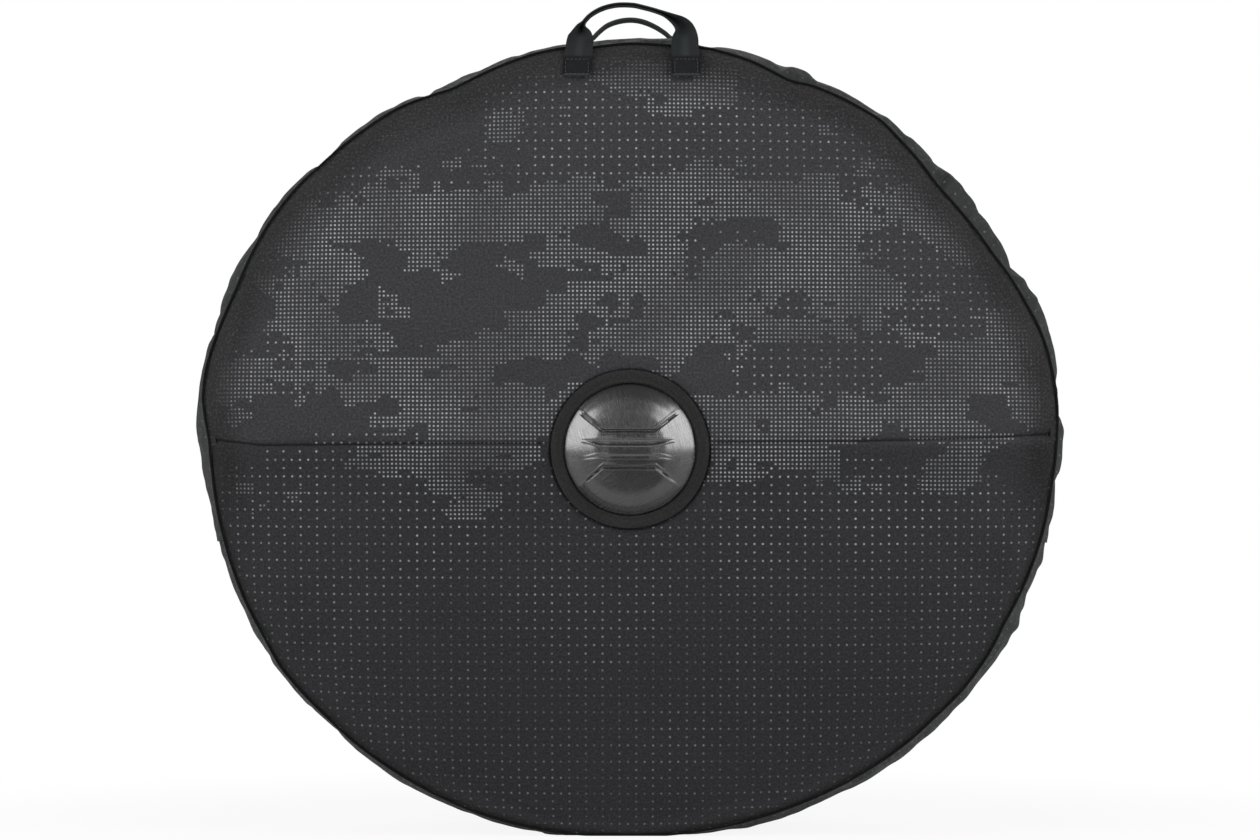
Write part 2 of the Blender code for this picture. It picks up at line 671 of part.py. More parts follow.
def handle_sections(side, axis_y, axis_z):
    """Sections of the webbing along the loop: flat at the tabs, folded double and edge-on over the top."""
    half = WEBBING_THICKNESS / 2
    line = [(across, up, fold, 1.0) for across, up, fold in HANDLE_LINE_shares]
    roots = [(1.0, down * half / HANDLE_HEIGHT, 0.0, thin) for down, thin in HANDLE_ROOT_shares]
    right = roots + line
    left = [(-across, up, fold, thin) for across, up, fold, thin in reversed(right[:-1])]
    places = right + left
    centres = []
    for across, up, *_ in places:
        centres.append(Vector((across * TAB_CENTRE, axis_y, axis_z + up * HANDLE_HEIGHT)))
    sections = []
    for i, (_, _, fold, thin) in enumerate(places):
        before, after = centres[max(i - 1, 0)], centres[min(i + 1, len(centres) - 1)]
        along = (after - before).normalized()
        depth = Vector((0, -side, 0))
        normal = along.cross(depth)
        turn = fold * pi / 2
        if i >= len(right):
            turn = pi - turn
        layers = 1 + (GRIP_LAYERS - 1) * fold
        width = (normal * cos(turn) + depth * sin(turn)) * WEBBING_WIDTH / 2 / layers
        thick = along.cross(width).normalized() * half * thin * layers
        centre = centres[i]
        under, over = centre - thick, centre + thick
        sections.append([under - width, under + width, over + width, over - width])
    return sections


def make_handles():
    """Two webbing loops, one at each face, and the four tabs that are sewn to the panels."""
    tab_edge = WEBBING_THICKNESS * SOFT_EDGE_share
    for place, side in (("front", -1), ("rear", 1)):
        top, face, slope = tab_place(side)
        lean = atan2(slope, 1)
        for hand, across in (("left", -1), ("right", 1)):
            size = (WEBBING_WIDTH, WEBBING_THICKNESS, TAB_HEIGHT)
            tab = block(f"{place}_{hand}_handle_tab", size, (0, 0, 0), WEBBING_LOOK, edge=tab_edge)
            outward = side * (CLEARANCE + WEBBING_THICKNESS / 2)
            centre = Matrix.Translation((0, outward, -TAB_HEIGHT / 2))
            spot = Matrix.Translation((across * TAB_CENTRE, face, top))
            tab.matrix_world = spot @ Matrix.Rotation(side * lean, 4, "X") @ centre
        reach = GUSSET_WIDTH / 2 + PIPING_RADIUS + HANDLE_CLEARANCE + WEBBING_THICKNESS / 2
        axis_y = side * reach
        axis_z = top + HANDLE_CLEARANCE + WEBBING_THICKNESS / 2
        loop = loft(f"{place}_handle", handle_sections(side, axis_y, axis_z), WEBBING_LOOK)
        carry(pivot(f"{place}_handle_axis", (0, axis_y, axis_z)), loop)


def divider_inset(turn):
    """How far in from the outline the divider's edge lies: under the zip's arc, then out to the foot."""
    foot = CLOTH_THICKNESS + CLEARANCE + GUSSET_PADDING + DIVIDER_FOOT_GAP
    below = abs(turn) - ZIP_END
    room = track_inset(min(abs(turn), ZIP_END), TRACK_RADIUS) + DIVIDER_ZIP_ROOM
    return room if below <= 0 else room + (foot - room) * below / (pi - ZIP_END)


def make_divider():
    """The padded board that keeps the wheels apart, bound at its edge and sewn down at its foot."""
    turns = [(step - OUTLINE_STEPS // 2) * STEP for step in range(OUTLINE_STEPS)]
    foot = divider_inset(pi)

    def edge(turn, inset, y):
        reach = divider_inset(turn) + inset
        return wall_point(turn, reach, y, foot + inset)

    board_inset = BINDING_THICKNESS + CLEARANCE
    outline = [edge(turn, board_inset, 0).xz for turn in turns]
    half = DIVIDER_FOAM / 2
    board = prism("divider_board", outline, -half, half, FOAM_LOOK, across="Y")
    band = BINDING_WIDTH / 2
    corners = ((0, -band), (0, band), (BINDING_THICKNESS, band), (BINDING_THICKNESS, -band))
    sections = [[edge(turn, inset, y) for inset, y in corners] for turn in turns]
    binding = loft("divider_binding", sections, TRIM_LOOK, ring=True)
    patches = []
    for place, side in (("front", -1), ("rear", 1)):
        bm = bmesh.new()
        bmesh.ops.create_cone(
            bm,
            cap_ends=True,
            segments=TURNED_STEPS,
            radius1=DIVIDER_PATCH_RADIUS,
            radius2=DIVIDER_PATCH_RADIUS,
            depth=DIVIDER_PATCH_THICKNESS,
        )
        name = f"divider_{place}_patch"
        patch = add(name, mesh_from(bm, name), LINING_LOOK)
        reach = side * (half + CLEARANCE + DIVIDER_PATCH_THICKNESS / 2)
        patch.matrix_world = Matrix.Translation((0, reach, HUB_HEIGHT)) @ Matrix.Rotation(pi / 2, 4, "X")
        patches.append(patch)
    bpy.context.view_layer.update()
    carry(pivot("divider_axis", (0, 0, foot + BINDING_THICKNESS)), board, binding, *patches)


LID_PIECES = (
    "lid_panel_cloth",
    "lid_panel_foam",
    "lid_panel_lining",
    "front_gusset_cloth",
    "front_gusset_padding",
    "front_piping_upper",
    "front_zip_tape",
    "front_zip_chain",
    "front_hub_guard",
    "front_hub_ring",
    "front_left_handle_tab",
    "front_right_handle_tab",
    "front_handle_axis",
)


def hang_lid():
    """Carries every piece of the lid on the fold's axis, just proud of the crowned front."""
    fold_y = -(SEAT_FACE + FOLD_AXIS_PROUD)
    axis = pivot("lid_fold_axis", (0, fold_y, FOLD_Z))
    carry(axis, *(bpy.data.objects[name] for name in LID_PIECES))


clear_scene()
make_gusset()
make_piping()
make_panels()
make_hub_guards()
make_zip()
for slider_place, slider_side in (("left", -1), ("right", 1)):
    make_slider(slider_place, slider_side)
make_handles()
make_divider()
hang_lid()

print("fold height", round(FOLD_Z, 5), "zip end, degrees", round(degrees(ZIP_END), 2))
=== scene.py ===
from math import cos, hypot, pi, radians, sin, sqrt

import bmesh
import bpy
import numpy as np
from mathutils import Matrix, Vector


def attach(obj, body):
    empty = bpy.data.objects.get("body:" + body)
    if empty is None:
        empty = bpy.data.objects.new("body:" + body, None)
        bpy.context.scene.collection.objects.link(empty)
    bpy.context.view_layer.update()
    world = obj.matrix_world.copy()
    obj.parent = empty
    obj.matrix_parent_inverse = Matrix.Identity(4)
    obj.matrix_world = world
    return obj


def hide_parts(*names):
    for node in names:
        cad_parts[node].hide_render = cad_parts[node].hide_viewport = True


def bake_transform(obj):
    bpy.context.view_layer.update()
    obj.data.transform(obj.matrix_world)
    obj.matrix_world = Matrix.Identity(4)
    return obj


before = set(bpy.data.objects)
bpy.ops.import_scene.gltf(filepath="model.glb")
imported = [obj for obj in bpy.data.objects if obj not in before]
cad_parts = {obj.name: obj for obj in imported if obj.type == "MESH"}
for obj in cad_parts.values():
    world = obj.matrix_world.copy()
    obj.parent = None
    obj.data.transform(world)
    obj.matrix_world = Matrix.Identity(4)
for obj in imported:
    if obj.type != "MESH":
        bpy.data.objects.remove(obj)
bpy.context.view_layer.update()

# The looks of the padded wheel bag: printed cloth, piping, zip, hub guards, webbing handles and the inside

scene = bpy.context.scene

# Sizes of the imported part, in metres. A side of -1 is the front and 1 the back.
HALF_WIDTH = 0.4115
HALF_HEIGHT = 0.380126
CENTRE_Z = 0.376874
HUB_Z = 0.367874
GUSSET_HALF = 0.100
TRACK_RADIUS = 0.396
TRACK_Z = 0.350
ZIP_END = radians(105)
PANEL_FACE = 0.1007
CROWN = 0.020
SEAT_RADIUS = 0.0775
HOLE_RADIUS = 0.056
RING_RADIUS = 0.0745
DOME_RADIUS = 0.063
SEAM_Z = 0.3735
HANDLE_Y = 0.1043

# Where the photograph's camera stands, and how far in front of the bag's middle its scale holds
CAMERA_FAR = 5.0
CAMERA_Z = 0.3957
SCALE_Y = 0.107
PIXEL = 0.00095
PICTURE_WIDTH = 1260

# Sizes that only the cloth has
EDGE_Y = 0.0993  # where the gusset's cloth ends, inside the piping cord
EDGE_LAP = 0.0006  # from the piping's outer line in to the cord's middle, where the gusset is sewn
STRIP_GAP = 0.0105  # from the bag's middle to a strip's edge beside the zip
TAPE_LIFT = 0.0023  # from the zip's arc up to the strip's edge
BULGE = 2.6  # how squarely the gusset rises beside the piping
RIM_RADIUS = 0.4  # metres of rim in one radian
BACK_TURN = 0.4  # radians by which the back's outline is turned against the front's mirrored
PRINT_SHIFT = 0.4977  # where on the print's height the middle of the gusset is cut
PAD_DEPTH = 0.0083  # from a panel's face to its padding's inner side
WALL = 0.0063  # from the gusset's face to its lining
CORD_RADIUS = 0.0012

# Directions
UP = np.array([0.0, 0.0, 1.0])
IN = np.array([0.0, 1.0, 0.0])
RIGHT = np.array([1.0, 0.0, 0.0])

# The bag's two faces: the word for each in names, its side, and the body that it is on
FACES = (("front", -1, "lid"), ("rear", 1, "shell"))

# How the gusset's outline runs from corner to corner in the photograph: degrees from the top and how far it
# stands out from the oval, in millimetres
OUTLINE = (
    (0, -0.7), (5, 0.9), (9.5, 0), (12, 0.4), (16, 1.2), (18.5, 1.0), (20.5, 0.9), (22, 2.6), (23.6, 3.0),
    (24.6, 1.8), (25.4, 0), (28, -0.8), (31, -0.4), (35, -0.5), (36.5, 0.2), (38, -0.9), (43, -2.9),
    (47, -4.7), (48.2, -5.0), (50, -2.5), (53, -3.9), (57, -6.3), (59, -7.4), (61.5, -6.1), (63.6, -6.8),
    (65, -3.9), (66.5, 0.4), (70, 1.6), (72.5, 2.6), (77, 2.8), (80, 0.9), (81.5, -0.7), (83, -0.4),
    (85.5, -2.3), (87, 0.5), (88.6, 1.6), (90, 0), (93, -1.3), (94.6, -1.8), (95.9, -3.4), (99, -3.8),
    (103, -3.7), (106, 0.2), (108, 0.3), (110, -2.0), (112.6, -4.2), (114, -1.2), (116, 2.7), (119.5, 1.5),
    (124, 1.0), (128, 2.6), (132, 1.7), (135, 3.8), (136.6, 3.7), (138.5, 3.0), (140, 3.3), (145, 3.2),
    (149, 3.6), (152.5, 2.2), (157.4, 2.7), (158.6, 2.2), (160, 2.6), (163, 2.2), (166, 0.7), (170, 1.8),
    (174, 0.8), (180, 0.8), (184, 2.0), (187, 5.2), (190, 5.3), (195, 1.0), (200, 1.6), (201.5, 0.9),
    (202.6, 2.3), (206, 1.4), (211.5, 1.0), (214, 0), (218, -0.8), (221, -2.2), (223, -4.3), (227, -1.9),
    (230, -2.7), (233, -3.3), (237, -3.8), (240, -3.5), (243, -5.6), (247, -5.6), (251, -5.7), (255, -7.4),
    (258.5, -8.3), (262, -7.2), (265, -5.8), (267.5, -4.4), (270, -1.6), (272, -0.3), (278, -0.9),
    (282, -0.7), (285, -1.0), (292.4, 2.4), (293.5, 4.0), (296, 3.2), (300, 0.8), (305, 2.6), (308, 0.8),
    (312, 0.2), (313.6, -1.2), (315, -2.0), (319, -1.9), (325, -1.6), (328.6, -1.6), (330, -3.8),
    (331.5, -8.4), (333.5, -6.5), (335, -5.5), (339, -5.5), (341, -4.8), (345, -3.2), (350, -1.7),
    (355, -2.4),
)
# How far in from the oval the front piping runs: degrees from the top, millimetres
PIPING_RUN = (
    (0, 3.1), (5, 3.8), (10, 1.4), (14, 3.1), (16.5, 4.5), (18.5, 6.9), (22.5, 11.4), (25, 7.4), (30, 5.5),
    (36, 4.8), (40, 9.8), (44, 13.8), (48, 18.5), (52, 18.5), (56, 17.8), (61, 16.5), (65, 12.9), (70, 9.1),
    (73, 5.9), (76, 4.2), (80, 3.5), (85, 3.5), (88, 4.8), (90, 5.6), (93, 6.5), (97, 8.1), (103, 7.5),
    (110, 7.9), (118.5, 8.5), (120, 6.9), (124, 4.9), (129, 3.7), (135, 4.5), (140, 3.2), (150, 3.2),
    (160, 3.4), (170, 3.5), (180, 3.0), (185, 2.9), (190, 1.7), (200, 1.1), (210, 2.8), (220, 4.4),
    (225, 5.7), (235, 5.1), (238, 7.5), (240, 8.8), (245, 9.5), (250, 10.9), (255, 12.2), (265, 12.9),
    (270, 11.5), (273, 7.1), (276, 2.8), (280, 1.7), (283, 2.7), (286, 4.2), (290, 5.7), (293, 6.1),
    (297, 4.4), (302, 2.4), (307, 1.7), (311, 2.1), (313, 3.5), (318, 3.9), (327, 4.7), (330, 7.2),
    (332, 9.4), (335.3, 12.2), (339, 9.4), (343, 6.2), (347, 3.7), (351, 2.8), (355, 5.7),
)
# Creases where the gusset is gathered: degrees from the top, depth in millimetres, half width in degrees
CREASES = (
    (22.8, 4.0, 1.0), (48.0, 4.5, 1.2), (57, 2.0, 0.9), (63.6, 3.5, 0.9), (65.4, 2.5, 0.8),
    (81.5, 1.5, 0.9), (88.0, 3.0, 0.9), (95.9, 3.5, 1.0), (112.6, 3.0, 1.0), (119, 1.5, 0.8),
    (138.5, 2.0, 0.8), (158.6, 1.2, 0.9), (201.5, 1.5, 0.9), (223, 2.0, 1.0), (240, 3.0, 0.8),
    (252, 2.0, 0.9), (269, 2.0, 1.0), (293.2, 1.2, 0.8), (313.6, 3.0, 0.9), (331.5, 4.0, 0.9),
    (335.3, 3.5, 0.9), (354, 1.5, 0.9),
)


def rim_run(table, turn, rounding):
    """A rim table's millimetres at these turns: straight from corner to corner, rounded over some degrees."""
    degrees = np.degrees(turn)
    corners, levels = np.array(table, float).T
    steps = np.array([-1.0, -0.6, -0.3, 0.0, 0.3, 0.6, 1.0]) * rounding
    return sum(np.interp(degrees + step, corners, levels, period=360) for step in steps) / len(steps)


def ease(value, low, high):
    """Rises from 0 to 1 without corners while the value goes from low to high."""
    share = np.clip((np.asarray(value, float) - low) / (high - low), 0, 1)
    return share * share * (3 - 2 * share)


def swell(a, b, size, seed, waves=7):
    """A soft random swell over two coordinates, about -1 to 1, with bumps of about this size."""
    source = np.random.RandomState(seed)
    total = np.zeros(np.broadcast(a, b).shape)
    for _ in range(waves):
        heading = source.uniform(0, 2 * pi)
        pitch = 2 * pi / (size * source.uniform(0.8, 1.9))
        total = total + np.sin((a * cos(heading) + b * sin(heading)) * pitch + source.uniform(0, 2 * pi))
    return total / sqrt(waves) / 1.2


def oval(turn, inset, y):
    """Points on the oval at these turns from the top, moved in along its normal. Returns x, y, z stacked."""
    turn, inset = np.broadcast_arrays(np.asarray(turn, float), np.asarray(inset, float))
    across, up = HALF_HEIGHT * np.sin(turn), HALF_WIDTH * np.cos(turn)
    length = np.hypot(across, up)
    x = HALF_WIDTH * np.sin(turn) - inset * across / length
    z = CENTRE_Z + HALF_HEIGHT * np.cos(turn) - inset * up / length
    return np.stack([x, np.broadcast_to(y, x.shape), z], axis=-1)


def outline_out(turn, side):
    """How far the gusset's crest stands out from the oval, in metres. The back is calmer than the front."""
    if side < 0:
        return rim_run(OUTLINE, turn, 0.55) * 0.001 + 0.0008
    return rim_run(OUTLINE, BACK_TURN - np.asarray(turn), 3.5) * 0.0005


def piping_inset(turn, side):
    """How far in from the oval the piping runs, in metres."""
    if side < 0:
        return rim_run(PIPING_RUN, turn, 0.9) * 0.001 - 0.0008
    return rim_run(PIPING_RUN, BACK_TURN - np.asarray(turn), 4.0) * 0.0008 + 0.0006


def creases(turn, side):
    """Depth of the gathers at these turns, in metres."""
    depth = np.zeros(np.shape(turn))
    for place, deep, wide in CREASES:
        if side > 0:
            place = 11 - place * 0.93
        away = (np.degrees(turn) - place + 180) % 360 - 180
        lean = 1 + 0.5 * np.tanh(away / wide)
        depth = depth + deep * np.exp(-((away / wide / lean) ** 2))
    return depth * (0.001 if side < 0 else 0.0007)


def track_inset(turn):
    """How far in from the oval the zip's arc lies, along the oval's normal."""
    start, inner = oval(turn, 0.0, 0.0), oval(turn, 0.1, 0.0)
    way = (inner - start) / 0.1
    offset = start - np.array([0, 0, TRACK_Z])
    along = (offset * way).sum(axis=-1)
    reach = along**2 - (offset**2).sum(axis=-1) + TRACK_RADIUS**2
    return -along - np.sqrt(np.maximum(reach, 0))


# Meshes


def unit(vectors):
    return vectors / np.linalg.norm(vectors, axis=-1, keepdims=True)


def run_length(line):
    """How far along a line each of its points lies."""
    return np.concatenate([[0], np.cumsum(np.linalg.norm(np.diff(line, axis=0), axis=1))])


def circle_angles(count):
    return np.arange(count) * 2 * pi / count


def turned(radius, height, around):
    """Points at these radii and heights, round an axis that points out of the panel."""
    radius, height, around = np.broadcast_arrays(radius, height, around)
    return np.stack([radius * np.sin(around), height, radius * np.cos(around)], axis=-1)


def at_hub(points, side, height):
    """Points from turned(), put over the hub on one side of the bag."""
    return points * np.array([1, side, 1]) + np.array([0, side * height, HUB_Z])


def rings(centres, first, second, radius, sides=6):
    """Points round each centre at its radius, in the plane of two directions."""
    around = circle_angles(sides)[:, None]
    ring = first[..., None, :] * np.cos(around) + second[..., None, :] * np.sin(around)
    return centres[:, None] + ring * np.reshape(radius, (-1, 1, 1))


def add_piece(name, mesh):
    made = bpy.data.objects.new(name, mesh)
    scene.collection.objects.link(made)
    return made


def grid_mesh(
    name, points, finishes, place=None, wrap_rows=False, wrap_columns=False, caps=False, parts=None
):
    """A mesh through a grid of points (rows, columns, 3), with the cloth's own coordinates kept on it. Parts
    says which of the finishes each of its cells has."""
    rows, columns = points.shape[:2]
    numbers = np.arange(rows * columns).reshape(rows, columns)
    below = np.vstack([numbers, numbers[:1]]) if wrap_rows else numbers
    beside = np.hstack([below, below[:, :1]]) if wrap_columns else below
    quads = np.stack([beside[:-1, :-1], beside[:-1, 1:], beside[1:, 1:], beside[1:, :-1]], axis=-1)
    faces = quads.reshape(-1, 4).tolist()
    if caps:
        faces += [numbers[0, ::-1].tolist(), numbers[-1].tolist()]
    mesh = bpy.data.meshes.new(name)
    mesh.from_pydata(points.reshape(-1, 3).tolist(), [], faces)
    if place is not None:
        layer = mesh.attributes.new("cloth_place", "FLOAT_VECTOR", "POINT")
        layer.data.foreach_set("vector", np.ascontiguousarray(place, dtype=np.float32).reshape(-1))
    for finish in finishes:
        mesh.materials.append(finish.material)
    if parts is not None:
        kinds = np.zeros(len(faces), dtype=np.int32)
        kinds[: quads.shape[0] * quads.shape[1]] = np.broadcast_to(parts, quads.shape[:2]).reshape(-1)
        mesh.polygons.foreach_set("material_index", kinds)
    mesh.validate()
    return add_piece(name, mesh)


def outward(piece, sharp=50):
    """Turns a closed mesh's faces outward and shades it smooth up to this angle."""
    bm = bmesh.new()
    bm.from_mesh(piece.data)
    bmesh.ops.recalc_face_normals(bm, faces=bm.faces)
    bm.to_mesh(piece.data)
    bm.free()
    piece.data.shade_smooth()
    piece.data.set_sharp_from_angle(angle=radians(sharp))
    return piece


def closed_grid(name, points, finish, place=None, sharp=50, **closing):
    return outward(grid_mesh(name, points, [finish], place, **closing), sharp)


def strap(name, top, under, along, across, finish, sewn=0.0):
    """A closed strap between its two faces. Along and across are its own coordinates."""
    loop = np.concatenate([top, under[:, ::-1]], axis=1)
    place = np.zeros(loop.shape)
    place[..., 0] = along[:, None]
    place[..., 1] = np.concatenate([across, across[::-1]])
    place[..., 2] = sewn
    return closed_grid(name, loop, finish, place, wrap_columns=True, caps=True)


def flat_place(points):
    """Cloth coordinates of a flat sheet that faces the front, with no print."""
    return np.stack([points[..., 0], points[..., 2], np.zeros(points.shape[:-1])], axis=-1)


def stands_for(made, slot, *nodes):
    """Hides these nodes, whose place the piece takes. The slot is not used."""
    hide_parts(*nodes)
    return made


def smooth_path(points, steps):
    """A smooth line through control rows of numbers, with this many steps between each pair."""
    points = np.array(points, float)
    padded = np.vstack([2 * points[0] - points[1], points, 2 * points[-1] - points[-2]])
    line = []
    for i in range(1, len(padded) - 2):
        a, b, c, d = padded[i - 1 : i + 3]
        for step in range(steps):
            t = step / steps
            bend = (2 * a - 5 * b + 4 * c - d) * t**2 + (3 * b - a - 3 * c + d) * t**3
            line.append(0.5 * (2 * b + (c - a) * t + bend))
    line.append(points[-1])
    return np.array(line)


def loose_cords(name, runs, finish):
    """One mesh of many short cords, each a run of rings closed at both ends."""
    runs = np.array(runs)
    numbers = np.arange(runs[..., 0].size).reshape(runs.shape[:3])
    beside = np.roll(numbers, -1, axis=2)
    walls = np.stack([numbers[:, :-1], beside[:, :-1], beside[:, 1:], numbers[:, 1:]], axis=-1)
    faces = walls.reshape(-1, 4).tolist() + numbers[:, 0, ::-1].tolist() + numbers[:, -1].tolist()
    mesh = bpy.data.meshes.new(name)
    mesh.from_pydata(runs.reshape(-1, 3).tolist(), [], faces)
    mesh.materials.append(finish.material)
    return outward(add_piece(name, mesh))


def stitches(name, lines, normal, finish, length, gap, thick):
    """Short threads sunk into the cloth along lines, each one bowed out of it."""
    shares = np.array([0.0, 0.2, 0.5, 0.8, 1.0])
    bow = np.array([-0.5, 0.35, 0.65, 0.35, -0.5]) * thick
    girth = np.array([0.5, 0.9, 1.0, 0.9, 0.5]) * thick
    up = unit(np.array(normal, float))
    runs = []
    for line in lines:
        line = np.array(line, float)
        along = run_length(line)
        count = int(along[-1] / (length + gap))
        pitch = along[-1] / count
        for i in range(count):
            at = (i + 0.5) * pitch + (shares - 0.5) * length
            spots = np.stack([np.interp(at, along, line[:, k]) for k in range(3)], axis=-1)
            beside = np.cross(unit(spots[-1] - spots[0]), up)
            runs.append(rings(spots + up * bow[:, None], up, beside, girth))
    return loose_cords(name, runs, finish)


# Finishes


def scaled(colour, factor):
    return tuple(channel * factor for channel in colour)


class Signal:
    """A socket's value in a finish. Sums on it add the finish's Math nodes."""

    def __init__(self, finish, socket):
        self.finish = finish
        self.socket = socket

    def sum(self, operation, *values):
        return self.finish.node("ShaderNodeMath", {"operation": operation}, dict(enumerate(values)))

    def __add__(self, other):
        return self.sum("ADD", self, other)

    def __sub__(self, other):
        return self.sum("SUBTRACT", self, other)

    def __rsub__(self, other):
        return self.sum("SUBTRACT", other, self)

    def __mul__(self, other):
        return self.sum("MULTIPLY", self, other)

    def __truediv__(self, other):
        return self.sum("DIVIDE", self, other)

    def __pow__(self, other):
        return self.sum("POWER", self, other)

    def floor(self):
        return self.sum("FLOOR", self)

    def wave(self):
        return self.sum("SINE", self)

    def size(self):
        return self.sum("ABSOLUTE", self)

    def over(self, level):
        return self.sum("GREATER_THAN", self, level)

    def least(self, other):
        return self.sum("MINIMUM", self, other)

    def most(self, other):
        return self.sum("MAXIMUM", self, other)

    def ramp(self, low, high, start=0.0, end=1.0):
        """The value eased from start to end while it goes from low to high."""
        settings = {"interpolation_type": "SMOOTHSTEP"}
        return self.finish.node("ShaderNodeMapRange", settings, {0: self, 1: low, 2: high, 3: start, 4: end})


class Finish:
    """One procedural material, built from expressions on its signals."""

    def __init__(self, name, colour, roughness, **constants):
        self.material = bpy.data.materials.new(name)
        self.material.use_nodes = True
        self.tree = self.material.node_tree
        self.shader = self.tree.nodes["Principled BSDF"]
        self.set("Base Color", (*colour, 1.0))
        self.set("Roughness", roughness)
        for key, value in constants.items():
            self.set(key.replace("_", " ").title().replace("Ior", "IOR"), value)

    def node(self, kind, settings=None, values=None, output=0):
        """Adds a node with its settings, then its sockets' values or links, and gives one output."""
        made = self.tree.nodes.new(kind)
        for key, value in (settings or {}).items():
            setattr(made, key, value)
        for key, value in (values or {}).items():
            self.join(made.inputs[key], value)
        return Signal(self, made.outputs[output])

    def join(self, socket, value):
        if isinstance(value, Signal):
            self.tree.links.new(value.socket, socket)
        else:
            socket.default_value = value

    def set(self, name, value):
        self.join(self.shader.inputs[name], value)

    def place(self):
        """The cloth's own coordinates in metres: along, across, and how strongly it is printed."""
        return self.node("ShaderNodeAttribute", {"attribute_name": "cloth_place"}, output="Vector")

    def object_place(self):
        return self.node("ShaderNodeTexCoord", output="Object")

    def parts(self, vector):
        split = self.node("ShaderNodeSeparateXYZ", values={0: vector}).socket.node
        return [Signal(self, out) for out in split.outputs]

    def point(self, x, y, z):
        return self.node("ShaderNodeCombineXYZ", values={0: x, 1: y, 2: z})

    def noise(self, vector, scale, detail=2.0, roughness=0.5):
        values = {"Vector": vector, "Scale": scale, "Detail": detail, "Roughness": roughness}
        return self.node("ShaderNodeTexNoise", values=values)

    def chance(self, vector):
        return self.node("ShaderNodeTexWhiteNoise", values={"Vector": vector})

    def tint(self, factor, first, second):
        """Two colours mixed by a factor. A colour is three numbers or a signal."""
        first, second = ((*c, 1.0) if isinstance(c, tuple) else c for c in (first, second))
        values = {0: factor, 6: first, 7: second}
        return self.node("ShaderNodeMix", {"data_type": "RGBA"}, values, output=2)

    def relief(self, height, depth, strength):
        values = {"Height": height, "Distance": depth, "Strength": strength}
        self.set("Normal", self.node("ShaderNodeBump", values=values))


def woven(along, across, pitch):
    """Height of a plain weave with this pitch: threads that pass over and under each other."""
    u, v = along * (pi / pitch), across * (pi / pitch)
    warp, weft = u.wave().size(), v.wave().size()
    turn = ((u / pi).floor() + (v / pi).floor()) * 0.5
    upper = (turn - turn.floor()) * 2.0
    return warp * upper + weft * (1.0 - upper)


